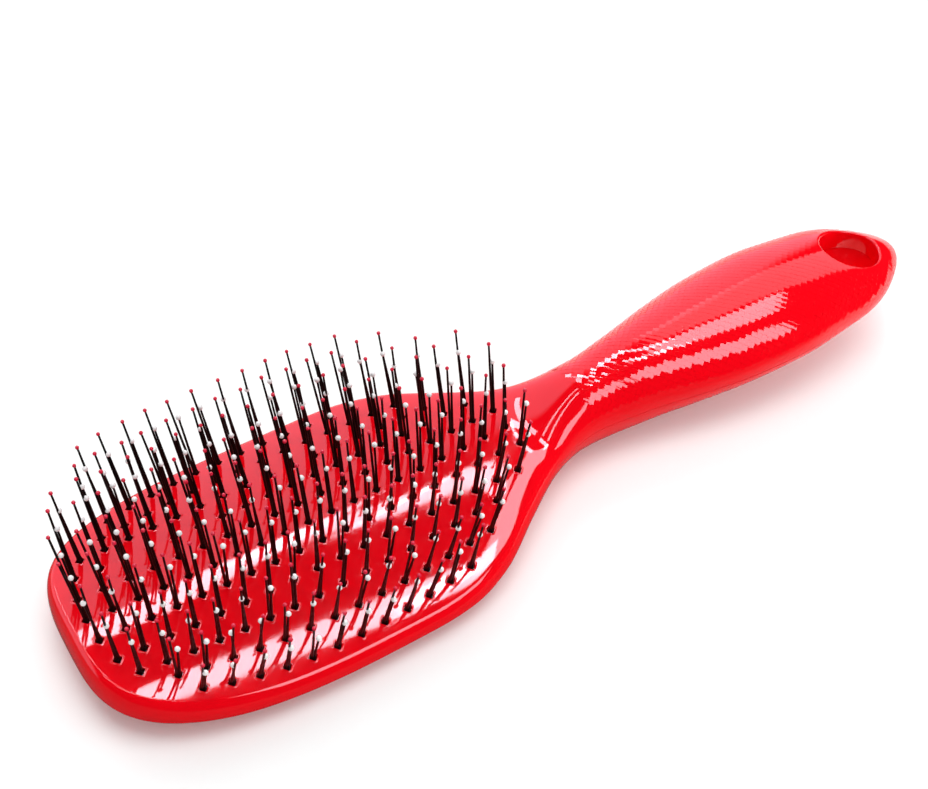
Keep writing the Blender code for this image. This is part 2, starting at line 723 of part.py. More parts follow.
def make_back_shell(collection, cutters, finish):
    """Make the back shell with the ribs under the plate and the posts that fit the front."""
    def cap(station, y):
        return back_height(station, min(abs(y) / half_width(station), 1.0), 0.0)

    def inner_cap(station, y):
        inner = max(half_width(station) - SIDE_WALL, SIDE_WALL)
        return back_height(station, min(abs(y) / inner, 1.0), BACK_WALL)

    shell = half_solid("back_shell", back_levels(0.0, 0.0), cap, -GAP / 2, collection)
    space = cavity("back_cavity", back_levels(SIDE_WALL, BACK_WALL), inner_cap, CUT_OVERRUN, cutters)
    combine(shell, space, "DIFFERENCE")
    first, last = plate_span()
    for number in range(1, RIB_COUNT + 1):
        station = first + (last - first) * number / (RIB_COUNT + 1)
        combine(shell, rib(f"rib_{number}", station, cutters), "UNION")
    for number, station in enumerate(post_stations(), start=1):
        post = round_column(f"post_{number}", POST_DIAMETER, cutters,
                            bottom_height(station) + BACK_WALL / 2,
                            seam_height(station) + POST_OVERLAP, station)
        combine(shell, post, "UNION")
    combine(shell, back_bore(cutters), "DIFFERENCE")
    shell.data.materials.append(finish)


def main():
    for thing in list(bpy.data.objects):
        bpy.data.objects.remove(thing)
    brush = new_collection("hair_brush")
    cutters = new_collection("cutters")
    red = material("red_gloss_plastic", (0.78, 0.006, 0.02), 0.12, coat=0.5)
    black = material("black_nylon", (0.012, 0.010, 0.011), 0.38)
    grey = material("grey_plastic", (0.09, 0.09, 0.10), 0.5)
    make_front_shell(brush, cutters, red)
    make_back_shell(brush, cutters, red)
    make_strips(brush, cutters, black)
    make_backing_plate(brush, grey)


main()
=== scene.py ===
"""A glossy red paddle hair brush with pairs of black pins, lying on its back on a white floor.

X runs along the brush from the head's end (-X) to the handle's tip (+X), and Z points up out of
the bristle face. A station is a distance along the brush from the head's end.
"""
from __future__ import annotations

import logging
import math
from dataclasses import dataclass, field
from enum import Enum
from functools import cached_property
from typing import Any, NamedTuple

import bpy
import numpy as np
from mathutils import Matrix, Quaternion, Vector, geometry, kdtree


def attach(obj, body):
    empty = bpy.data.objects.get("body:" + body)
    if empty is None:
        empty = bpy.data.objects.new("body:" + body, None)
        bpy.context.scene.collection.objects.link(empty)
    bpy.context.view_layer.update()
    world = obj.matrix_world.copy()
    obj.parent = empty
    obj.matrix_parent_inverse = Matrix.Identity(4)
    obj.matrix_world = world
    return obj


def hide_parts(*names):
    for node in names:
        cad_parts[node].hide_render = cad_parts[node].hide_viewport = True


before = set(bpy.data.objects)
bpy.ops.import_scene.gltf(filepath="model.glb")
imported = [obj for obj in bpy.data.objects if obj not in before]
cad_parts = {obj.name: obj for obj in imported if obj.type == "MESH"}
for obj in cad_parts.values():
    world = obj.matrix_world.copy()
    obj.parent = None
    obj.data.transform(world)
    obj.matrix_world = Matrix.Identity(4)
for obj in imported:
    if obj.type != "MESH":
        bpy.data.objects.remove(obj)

MM = 0.001
TINY = 1e-12
Array = np.ndarray
Mesh = bpy.types.Mesh
Material = bpy.types.Material
Socket = bpy.types.NodeSocket
Values = dict[str | int, Any]
Pair = tuple[float, float]
Triple = tuple[float, float, float]
log = logging.getLogger("hair_brush")


class Slot(Enum):
    """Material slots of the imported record."""

    RED_PLASTIC = "red_gloss_plastic"
    NYLON = "black_nylon"
    GREY_PLASTIC = "grey_plastic"
    RED_BEAD = "red_bead"
    WHITE_BEAD = "white_bead"


class Side(Enum):
    """The two moulded halves of the body."""

    FRONT = 1.0
    BACK = -1.0


def smoothstep(value: Array | float) -> Array:
    """Turn 0 to 1 into a rise that is flat at both ends."""
    t = np.clip(value, 0.0, 1.0)
    return t * t * (3 - 2 * t)


def unit(rows: Array) -> Array:
    """Bring each row to a length of 1."""
    return rows / np.linalg.norm(rows, axis=1, keepdims=True)


def along_brush(normal: Vector) -> Vector:
    """The direction along the brush that is square to a normal."""
    return (Vector((1.0, 0.0, 0.0)) - normal * normal.x).normalized()


def search_tree(plan: Array) -> kdtree.KDTree:
    """Store plan positions for a search by distance.

    Args:
        plan: Positions, one a row.

    Returns:
        The balanced tree.
    """
    tree = kdtree.KDTree(len(plan))
    for number, (x, y) in enumerate(plan):
        tree.insert((x, y, 0.0), number)
    tree.balance()
    return tree


def add_object(name: str, data: bpy.types.ID) -> bpy.types.Object:
    """Put a new object in the scene.

    Args:
        name: The object's name.
        data: What it holds.

    Returns:
        The object, at the origin.
    """
    made = bpy.data.objects.new(name, data)
    bpy.context.scene.collection.objects.link(made)
    return made


def inside(points: Array, loop: Array, block: int = 4000) -> Array:
    """Tell which points lie within a closed loop.

    Args:
        points: Plan positions, one a row.
        loop: Corners of the loop, in order.
        block: How many points are tested at a time.

    Returns:
        One truth value for each point.
    """
    start, end = loop, np.roll(loop, -1, axis=0)
    result = []
    for part in np.array_split(points, max(1, len(points) // block)):
        x, y = part[:, :1], part[:, 1:]
        straddles = (start[:, 1] > y) != (end[:, 1] > y)
        with np.errstate(divide="ignore", invalid="ignore"):
            rise = end[:, 1] - start[:, 1]
            crossing = (end[:, 0] - start[:, 0]) * (y - start[:, 1]) / rise + start[:, 0]
        result.append((straddles & (x < crossing)).sum(axis=1) % 2 == 1)
    return np.concatenate(result)


@dataclass(frozen=True)
class ShareCurve:
    """A smooth, monotone curve through a table of shares."""

    knots: tuple[Pair, ...]

    def value(self, position: Array) -> Array:
        """Read the curve at a share of its span.

        Args:
            position: Shares of the span.

        Returns:
            Shares of the change.
        """
        x, v = np.array(self.knots).T
        slopes = np.diff(v) / np.diff(x)
        product = slopes[:-1] * slopes[1:]
        total = np.where(product > 0, slopes[:-1] + slopes[1:], 1.0)
        tangents = np.concatenate(([0.0], np.where(product > 0, 2 * product / total, 0.0), [0.0]))
        position = np.clip(position, x[0], x[-1])
        index = np.clip(np.searchsorted(x, position) - 1, 0, len(x) - 2)
        span = x[index + 1] - x[index]
        t = (position - x[index]) / span
        return (v[index] * (1 + 2 * t) * (1 - t) ** 2 + tangents[index] * span * t * (1 - t) ** 2
                + v[index + 1] * t * t * (3 - 2 * t) + tangents[index + 1] * span * t * t * (t - 1))

    def spread(self, station: Array, start: float, end: float, low: float, high: float) -> Array:
        """Read the curve stretched over a span of stations and a range of values."""
        return low + (high - low) * self.value((station - start) / (end - start))


@dataclass
class BrushForm:
    """Sizes of the body and the height of its surfaces over the plan, in metres."""

    head_length: float = 119.0 * MM
    head_width: float = 70.0 * MM
    neck_length: float = 16.5 * MM
    neck_width: float = 20.8 * MM
    handle_length: float = 103.8 * MM
    handle_width: float = 36.8 * MM
    tip_round: float = 24.0 * MM
    tip_blend_share: float = 0.6
    face_height: float = 14.0 * MM
    face_dome: float = 4.6 * MM
    face_dip: float = 1.6 * MM
    head_end_seam: float = 8.3 * MM
    head_side_seam: float = 4.8 * MM
    neck_seam: float = 11.9 * MM
    tip_seam: float = 16.8 * MM
    neck_top: float = 22.0 * MM
    handle_top: float = 27.0 * MM
    tip_top: float = 21.0 * MM
    tip_bottom: float = 12.0 * MM
    ridge_inset: float = 2.4 * MM
    ridge_power: float = 2.35
    row_edge: float = 5.0 * MM
    end_edge: float = 5.6 * MM
    end_length_power: float = 2.5
    end_width_power: float = 3.3
    back_power: float = 3.2
    back_overfill: float = 1.05
    blend_start_share: float = 0.38
    hang_from_tip: float = 16.7 * MM
    hang_length: float = 17.0 * MM
    hang_width: float = 15.4 * MM
    hang_back_length: float = 9.0 * MM
    hang_back_width: float = 8.0 * MM
    line_step: float = 0.1 * MM
    line_smoothing: float = 1.6 * MM
    flare: ShareCurve = ShareCurve((
        (0.0, 0.0), (0.2, 0.004), (0.32, 0.04), (0.47, 0.2), (0.63, 0.53), (0.79, 0.84),
        (0.87, 0.94), (0.95, 0.992), (1.0, 1.0)))
    swell: ShareCurve = ShareCurve((
        (0.0, 0.0), (0.136, 0.22), (0.282, 0.62), (0.427, 0.91), (0.572, 1.0), (0.717, 0.82),
        (0.863, 0.55), (1.0, 0.22)))
    head_seam: ShareCurve = ShareCurve(((0.0, 0.0), (0.2, 0.26), (0.5, 0.77), (1.0, 1.0)))
    flare_seam: ShareCurve = ShareCurve((
        (0.0, 0.0), (0.33, 0.07), (0.63, 0.5), (0.79, 0.76), (1.0, 1.0)))
    handle_seam: ShareCurve = ShareCurve((
        (0.0, 0.0), (0.19, 0.27), (0.43, 0.6), (0.6, 0.8), (0.87, 0.96), (1.0, 1.0)))
    neck_rise: ShareCurve = ShareCurve((
        (0.0, 0.0), (0.28, 0.13), (0.5, 0.4), (0.75, 0.76), (1.0, 1.0)))
    handle_rise: ShareCurve = ShareCurve((
        (0.0, 0.0), (0.14, 0.42), (0.29, 0.67), (0.43, 0.86), (0.6, 1.0)))
    tip_fall: ShareCurve = ShareCurve((
        (0.0, 0.0), (0.3, 0.1), (0.62, 0.37), (0.87, 0.76), (1.0, 1.0)))
    bottom_rise: ShareCurve = ShareCurve((
        (0.0, 0.0), (0.1, 0.06), (0.28, 0.28), (0.45, 0.45), (0.62, 0.61), (0.87, 0.84),
        (1.0, 1.0)))

    @property
    def middle(self) -> float:
        """Station of the head's middle."""
        return self.head_length / 2

    @property
    def neck(self) -> float:
        """Station of the narrowest place."""
        return self.head_length + self.neck_length

    @property
    def length(self) -> float:
        """Length of the whole brush."""
        return self.neck + self.handle_length

    @property
    def hang_station(self) -> float:
        """Station of the hang hole's middle."""
        return self.length - self.hang_from_tip

    @property
    def outer_row(self) -> float:
        """Distance of the outermost row from the middle."""
        return self.head_width / 2 - self.row_edge

    @cached_property
    def stations(self) -> Array:
        """Fine stations at which the lines along the brush are kept."""
        margin = 4 * self.line_smoothing
        return np.arange(-margin, self.length + margin, self.line_step)

    def line(self, values: Array) -> Array:
        """Round off the kinks of a line along the brush.

        Args:
            values: The line's values at the fine stations.

        Returns:
            The same line, smoothed.
        """
        reach = int(3 * self.line_smoothing / self.line_step)
        places = np.arange(-reach, reach + 1) * self.line_step
        weights = np.exp(-0.5 * (places / self.line_smoothing) ** 2)
        padded = np.pad(values, reach, mode="reflect", reflect_type="odd")
        return np.convolve(padded, weights / weights.sum(), mode="valid")

    @cached_property
    def width_line(self) -> Array:
        """Half-width along the brush before its ends are rounded off.

        Returns:
            Its values at the fine stations.
        """
        s = self.stations
        head, neck, handle = self.head_width / 2, self.neck_width / 2, self.handle_width / 2
        flare = self.flare.spread(s, self.middle, self.neck, head, neck)
        swell = self.swell.spread(s, self.neck, self.length, neck, handle)
        return self.line(np.where(s <= self.neck, flare, swell))

    @cached_property
    def seam_line(self) -> Array:
        """Height of the seam along the brush.

        Returns:
            Its values at the fine stations.
        """
        s = self.stations
        head = self.head_seam.spread(s, 0.0, self.middle, self.head_end_seam, self.head_side_seam)
        flare = self.flare_seam.spread(s, self.middle, self.neck,
                                       self.head_side_seam, self.neck_seam)
        handle = self.handle_seam.spread(s, self.neck, self.length, self.neck_seam, self.tip_seam)
        return self.line(np.select([s <= self.middle, s <= self.neck], [head, flare], handle))

    @cached_property
    def crown_line(self) -> Array:
        """Height of the top along the brush's middle plane.

        Returns:
            Its values at the fine stations.
        """
        s = self.stations
        start = self.head_length - self.end_edge
        peak_share = self.handle_rise.knots[-1][0]
        peak = self.neck + self.handle_length * peak_share
        dip = self.face_dip * ((s - self.middle) / (start - self.middle)) ** 2
        neck = self.neck_rise.spread(s, start, self.neck,
                                     self.face_height + self.face_dip, self.neck_top)
        share = peak_share * (s - self.neck) / (peak - self.neck)
        handle = self.neck_top + (self.handle_top - self.neck_top) * self.handle_rise.value(share)
        tip = self.tip_fall.spread(s, peak, self.length, self.handle_top, self.tip_top)
        places = [s <= start, s <= self.neck, s <= peak]
        return self.line(np.select(places, [self.face_height + dip, neck, handle], tip))

    @cached_property
    def bottom_line(self) -> Array:
        """Height of the lowest line of the back."""
        rise = self.bottom_rise.spread(self.stations, self.neck, self.length, 0.0, self.tip_bottom)
        return np.maximum(self.line(rise), 0.0)

    def along(self, line: Array, station: Array) -> Array:
        """Read a line along the brush at some stations."""
        return np.interp(station, self.stations, line)

    def half_width(self, station: Array) -> Array:
        """Half-width of the outline, closed and round at both ends.

        Args:
            station: Stations.

        Returns:
            The half-widths there.
        """
        station = np.clip(station, 0.0, self.length)
        width = self.along(self.width_line, station)
        head_reach = np.clip(1 - station / self.middle, 0.0, 1.0)
        head = (1 - head_reach ** self.end_length_power) ** (1 / self.end_width_power)
        tip_reach = np.clip(1 - (self.length - station) / self.tip_round, 0.0, 1.0)
        return width * head * np.sqrt(1 - tip_reach ** 2)

    def handle_blend(self, station: Array) -> Array:
        """0 where the section is the head's, 1 where it is the handle's.

        Args:
            station: Stations.

        Returns:
            The shares of the handle's section there.
        """
        share = self.blend_start_share
        start = self.head_length * share + self.middle * (1 - share)
        return smoothstep((station - start) / (self.neck - start))

    def share(self, station: Array, y: Array, inset: Array) -> Array:
        """Place in the section, 0 on the middle and 1 on the outline.

        Args:
            station: Stations of the points.
            y: Distances from the middle plane.
            inset: Distances from the outline.

        Returns:
            The places, read across the brush and, at its ends, square to the outline.
        """
        across = np.clip(np.abs(y) / np.maximum(self.half_width(station), MM), 0.0, 1.0)
        square = np.clip(1 - inset / self.along(self.width_line, station), 0.0, 1.0)
        head_end = 1 - smoothstep(station / self.middle)
        past_tip_start = station - self.length + self.tip_round
        tip_end = smoothstep(past_tip_start / (self.tip_blend_share * self.tip_round))
        weight = np.maximum(head_end, tip_end)
        return np.sqrt((1 - weight) * across ** 2 + weight * square ** 2)

    def front_height(self, station: Array, y: Array, inset: Array) -> Array:
        """Height of the front's outer surface.

        Args:
            station: Stations of the points.
            y: Distances from the middle plane.
            inset: Distances from the outline.

        Returns:
            The heights.
        """
        blend = self.handle_blend(station)
        seam = self.along(self.seam_line, station)
        crown = self.along(self.crown_line, station)
        face = crown - self.face_dome * (y / self.outer_row) ** 2
        corner = np.clip(1 - inset / self.ridge_inset, 0.0, 1.0)
        wall = (1 - corner ** 2) ** (1 / self.ridge_power)
        arch = np.sqrt(np.clip(1 - self.share(station, y, inset) ** 2, 0.0, 1.0))
        return seam + (1 - blend) * (face - seam) * wall + blend * (crown - seam) * arch

    def back_height(self, station: Array, y: Array, inset: Array) -> Array:
        """Height of the back's outer surface, flat where the brush lies on it.

        Args:
            station: Stations of the points.
            y: Distances from the middle plane.
            inset: Distances from the outline.

        Returns:
            The heights.
        """
        blend = self.handle_blend(station)
        seam = self.along(self.seam_line, station)
        bottom = self.along(self.bottom_line, station)
        share = self.share(station, y, inset)
        head = self.back_overfill * np.sqrt(np.clip(1 - share ** self.back_power, 0.0, 1.0))
        handle = np.sqrt(np.clip(1 - share ** 2, 0.0, 1.0))
        return np.maximum(bottom, seam - (seam - bottom) * ((1 - blend) * head + blend * handle))

    def height(self, side: Side, station: Array, y: Array, inset: Array) -> Array:
        """Height of one half's outer surface."""
        surface = self.front_height if side is Side.FRONT else self.back_height
        return surface(station, y, inset)

    def world(self, plan: Array, z: Array) -> Array:
        """Turn plan positions and heights into places in the part's frame."""
        return np.column_stack((plan[:, 0] - self.length / 2, plan[:, 1], z))


class Outline:
    """The closed outline of the brush in plan, which knows how far a point lies inside it."""

    STEP = 0.1 * MM
    TANGENT_REACH = 0.4 * MM
    END_POINTS = 1200
    SIDE_POINTS = 1500

    def __init__(self, form: BrushForm) -> None:
        """Sample the outline finely and store its points for searching.

        Args:
            form: The brush's sizes.
        """
        ends = np.linspace(0.0, 1.0, self.END_POINTS)
        head = form.middle * ends ** form.end_width_power
        straight = np.linspace(form.middle, form.length - form.tip_round, self.SIDE_POINTS)[1:]
        tip = form.length - form.tip_round * (1 - np.sin(ends[1:] * math.pi / 2))
        station = np.concatenate((head, straight, tip))
        half = np.column_stack((station, -form.half_width(station)))
        half[0, 1] = half[-1, 1] = 0.0
        self._loop = np.concatenate((half, half[-2:0:-1] * (1, -1), half[:1]))
        steps = np.linalg.norm(np.diff(self._loop, axis=0), axis=1)
        self._travel = np.concatenate(([0.0], np.cumsum(steps)))
        self.points, self.normals = self.ring(int(self._travel[-1] / self.STEP))
        self._tree = search_tree(self.points)

    def ring(self, count: int) -> tuple[Array, Array]:
        """Place points at equal steps round the outline, anticlockwise from above.

        Args:
            count: Number of points.

        Returns:
            Their positions and the directions that point outwards.
        """
        total = self._travel[-1]

        def at(travel: Array) -> Array:
            """Positions after some ways round the outline."""
            wrapped = travel % total
            return np.column_stack([np.interp(wrapped, self._travel, axis)
                                    for axis in self._loop.T])

        places = np.arange(count) * total / count
        along = unit(at(places + self.TANGENT_REACH) - at(places - self.TANGENT_REACH))
        return at(places), np.column_stack((along[:, 1], -along[:, 0]))

    def reach(self, plan: Array) -> tuple[Array, Array]:
        """Find how far plan positions lie inside the outline.

        Args:
            plan: Positions, one a row.

        Returns:
            Their distances from the outline, and its outward direction there.
        """
        nearest = np.array([self._tree.find((x, y, 0.0))[1] for x, y in plan])
        normals = self.normals[nearest]
        return ((self.points[nearest] - plan) * normals).sum(axis=1), normals


@dataclass
class Surface:
    """One half's outer surface, as points with heights and normals over the plan."""

    form: BrushForm
    outline: Outline
    side: Side
    slope_share: float = 0.4
    slope_steps: Pair = (1e-7, 0.1 * MM)
    edge: float = 1e-6

    def sample(self, plan: Array) -> tuple[Array, Array]:
        """Read the surface at plan positions.

        Args:
            plan: Positions, one a row.

        Returns:
            Heights, and outward unit normals.
        """
        inset, outward = self.outline.reach(plan)
        return self.sample_inset(plan, np.maximum(inset, 0.0), outward)

    def sample_inset(self, plan: Array, inset: Array, outward: Array) -> tuple[Array, Array]:
        """Read the surface where the distances from the outline are known.

        Args:
            plan: Positions, one a row.
            inset: Their distances from the outline.
            outward: The outline's outward directions at the nearest points.

        Returns:
            Heights, and outward unit normals.
        """
        step = np.clip(self.slope_share * inset, *self.slope_steps)
        x, y = plan.T

        def height(dx: Array | float, dy: Array | float) -> Array:
            """Heights at a small step aside."""
            shifted = inset - outward[:, 0] * dx - outward[:, 1] * dy
            return self.form.height(self.side, x + dx, y + dy, shifted)

        slope_x = (height(step, 0.0) - height(-step, 0.0)) / (2 * step)
        slope_y = (height(0.0, step) - height(0.0, -step)) / (2 * step)
        normals = np.column_stack((-slope_x, -slope_y, np.ones(len(x)))) * self.side.value
        edge = inset < self.edge
        normals[edge] = np.column_stack((outward[edge], np.zeros(edge.sum())))
        return height(0.0, 0.0), unit(normals)

    def frame_at(self, station: float, y: float) -> Matrix:
        """Frame on the surface: X along the brush, Z outwards, the origin on the surface.

        Args:
            station: The origin's station.
            y: Its distance from the middle plane.

        Returns:
            The frame, in the part's frame.
        """
        plan = np.array([[station, y]])
        z, normals = self.sample(plan)
        normal = Vector(normals[0])
        along = along_brush(normal)
        result = Matrix((along, normal.cross(along), normal)).transposed().to_4x4()
        result.translation = self.form.world(plan, z)[0]
        return result


class Nodes:
    """A tree of nodes, laid out node by node."""

    def __init__(self, tree: bpy.types.NodeTree) -> None:
        """Keep the tree."""
        self.tree = tree

    @classmethod
    def empty(cls, owner: Material | bpy.types.World) -> Nodes:
        """Start afresh with the nodes of a material or a world.

        Args:
            owner: The material or world.

        Returns:
            Its tree, emptied.
        """
        owner.use_nodes = True
        owner.node_tree.nodes.clear()
        return cls(owner.node_tree)

    def fill(self, node: bpy.types.Node, values: Values) -> None:
        """Set or link a node's inputs.

        Args:
            node: The node.
            values: What goes into its inputs: sockets or plain values.
        """
        for key, value in values.items():
            if isinstance(value, Socket):
                self.tree.links.new(value, node.inputs[key])
            else:
                node.inputs[key].default_value = value

    def node(self, kind: str, values: Values, **settings: Any) -> bpy.types.Node:
        """Add a node.

        Args:
            kind: The node's type.
            values: What goes into its inputs.
            settings: The node's own properties.

        Returns:
            The node.
        """
        made = self.tree.nodes.new(kind)
        for key, value in settings.items():
            setattr(made, key, value)
        self.fill(made, values)
        return made

    def out(self, kind: str, values: Values, output: str | int = 0, **settings: Any) -> Socket:
        """Add a node and return one of its outputs."""
        return self.node(kind, values, **settings).outputs[output]

    def rescale(self, value: Socket, span: Pair, levels: Pair, **settings: Any) -> Socket:
        """Turn one span of values into another.

        Args:
            value: The value.
            span: Where it starts and ends.
            levels: What these two become.
            settings: How the values between are found.

        Returns:
            The new value.
        """
        return self.out("ShaderNodeMapRange", {
            "Value": value, "From Min": span[0], "From Max": span[1],
            "To Min": levels[0], "To Max": levels[1]}, "Result", **settings)

    def ramp(self, place: Socket, side: Triple, span: Pair, levels: Pair) -> Socket:
        """Add a smooth rise of a value towards one side.

        Args:
            place: The position or direction that is looked at.
            side: Where the value rises to.
            span: How far to that side the rise starts and ends.
            levels: The value before and after the rise.

        Returns:
            The value.
        """
        towards = self.out("ShaderNodeVectorMath", {0: place, 1: side}, "Value",
                           operation="DOT_PRODUCT")
        return self.rescale(towards, span, levels, interpolation_type="SMOOTHSTEP")

    def choose(self, camera: Socket, glossy: Socket, other: Socket) -> Socket:
        """Pick a shader by the kind of ray that meets it.

        Args:
            camera: What the camera sees.
            glossy: What the gloss mirrors.
            other: What lights everything else.

        Returns:
            The picked shader.
        """
        picked = other
        for ray, shader in (("Is Glossy Ray", glossy), ("Is Camera Ray", camera)):
            seen = self.out("ShaderNodeLightPath", {}, ray)
            picked = self.out("ShaderNodeMixShader", {"Fac": seen, 1: picked, 2: shader})
        return picked


@dataclass(frozen=True)
class Finish:
    """A moulded or dipped finish whose colour, gloss and skin vary a little over the piece."""

    slot: Slot
    color: Triple
    shade: Triple
    gloss: Pair
    blotch: float
    grain: float
    skin: float
    specular: float = 0.5
    gloss_share: float = 0.2
    gloss_span: Pair = (0.35, 0.65)

    def build(self) -> Material:
        """Make the material's nodes, all on Object coordinates.

        Returns:
            The material.
        """
        finish = bpy.data.materials.new(self.slot.value)
        finish.use_nodes = True
        nodes = Nodes(finish.node_tree)
        place = nodes.out("ShaderNodeTexCoord", {}, "Object")

        def noise(scale: float, detail: float) -> Socket:
            """Uneven values over the piece."""
            return nodes.out("ShaderNodeTexNoise", {
                "Scale": scale, "Detail": detail, "Vector": place}, "Fac")

        tint = nodes.out("ShaderNodeMix", {
            "A": (*self.color, 1.0), "B": (*self.shade, 1.0),
            "Factor": noise(self.blotch, detail=3.0)}, "Result", data_type="RGBA")
        uneven = noise(self.grain * self.gloss_share, detail=4.0)
        rough = nodes.rescale(uneven, self.gloss_span, self.gloss)
        skin = nodes.out("ShaderNodeBump", {
            "Strength": 1.0, "Distance": self.skin,
            "Height": noise(self.grain, detail=2.0)}, "Normal")
        nodes.fill(finish.node_tree.nodes["Principled BSDF"], {
            "Base Color": tint, "Roughness": rough, "Normal": skin,
            "Specular IOR Level": self.specular})
        return finish


RED_GLOSS = Finish(Slot.RED_PLASTIC, (0.90, 0.001, 0.008), (0.87, 0.001, 0.006), (0.030, 0.055),
                   blotch=30.0, grain=900.0, skin=0.0006 * MM)
BLACK_NYLON = Finish(Slot.NYLON, (0.0022, 0.0018, 0.0018), (0.004, 0.003, 0.003), (0.34, 0.46),
                     blotch=200.0, grain=3000.0, skin=0.004 * MM, specular=0.14)
GREY_PLASTIC = Finish(Slot.GREY_PLASTIC, (0.08, 0.08, 0.09), (0.11, 0.11, 0.12), (0.40, 0.55),
                      blotch=60.0, grain=2500.0, skin=0.01 * MM)
RED_LACQUER = Finish(Slot.RED_BEAD, (0.72, 0.012, 0.05), (0.60, 0.010, 0.035), (0.18, 0.26),
                     blotch=250.0, grain=2500.0, skin=0.003 * MM)
WHITE_LACQUER = Finish(Slot.WHITE_BEAD, (0.93, 0.91, 0.91), (0.88, 0.85, 0.86), (0.18, 0.28),
                       blotch=250.0, grain=2500.0, skin=0.003 * MM)


def make_piece(name: str, mesh: Mesh, finish: Material, slot: Slot, *nodes: str) -> None:
    """Put a finished mesh in the scene under the root body and hide the CAD parts that it replaces.

    Args:
        name: The piece's name.
        mesh: Its mesh, already in the part's frame.
        finish: Its material.
        slot: The record's slot that the finish belongs to; not used.
        nodes: CAD nodes that the piece replaces.
    """
    mesh.materials.clear()
    mesh.materials.append(finish)
    piece = add_object(name, mesh)
    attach(piece, "root")
    if nodes:
        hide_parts(*nodes)
    log.info("%s: %d faces", name, len(mesh.polygons))


@dataclass
class Sheet:
    """Points in plan that are to be joined into one sheet, with the relief that they carry."""

    points: list[Array] = field(default_factory=list)
    lifts: list[Array] = field(default_factory=list)
    tilts: list[Array] = field(default_factory=list)
    edges: list[tuple[int, int]] = field(default_factory=list)
    count: int = 0
    merge_distance: float = 1e-6

    def add(self, points: Array, lift: Array | float = 0.0, tilt: Array | None = None,
            closed: bool | None = None) -> None:
        """Add points.

        Args:
            points: Plan positions.
            lift: How far each stands off the surface, or one value for all.
            tilt: How far each normal leans, as a share, in plan.
            closed: True for a loop of edges, False for an open line, None for loose points.
        """
        numbers = np.arange(self.count, self.count + len(points))
        self.count += len(points)
        self.points.append(points)
        self.lifts.append(np.broadcast_to(lift, (len(points),)).astype(float))
        self.tilts.append(np.zeros((len(points), 2)) if tilt is None else tilt)
        if closed is not None:
            ends = np.roll(numbers, -1) if closed else numbers[1:]
            self.edges.extend(zip(numbers.tolist(), ends.tolist()))

    def join(self) -> tuple[Array, Array, Array, Array, Array]:
        """Triangulate the points along their edges.

        Returns:
            Positions, lifts, tilts, first numbers of the points, and triangles.
        """
        plan = np.concatenate(self.points)
        corners = [Vector(point) for point in plan / MM]
        made, _, faces, origins, _, _ = geometry.delaunay_2d_cdt(
            corners, self.edges, [], 0, self.merge_distance, True)
        first = np.array([group[0] if group else -1 for group in origins])
        positions = np.array([tuple(point) for point in made]) * MM
        known = first >= 0
        positions[known] = plan[first[known]]
        lifts = np.where(known, np.concatenate(self.lifts)[first], 0.0)
        tilts = np.where(known[:, None], np.concatenate(self.tilts)[first], 0.0)
        return positions, lifts, tilts, first, np.array([tuple(face) for face in faces])


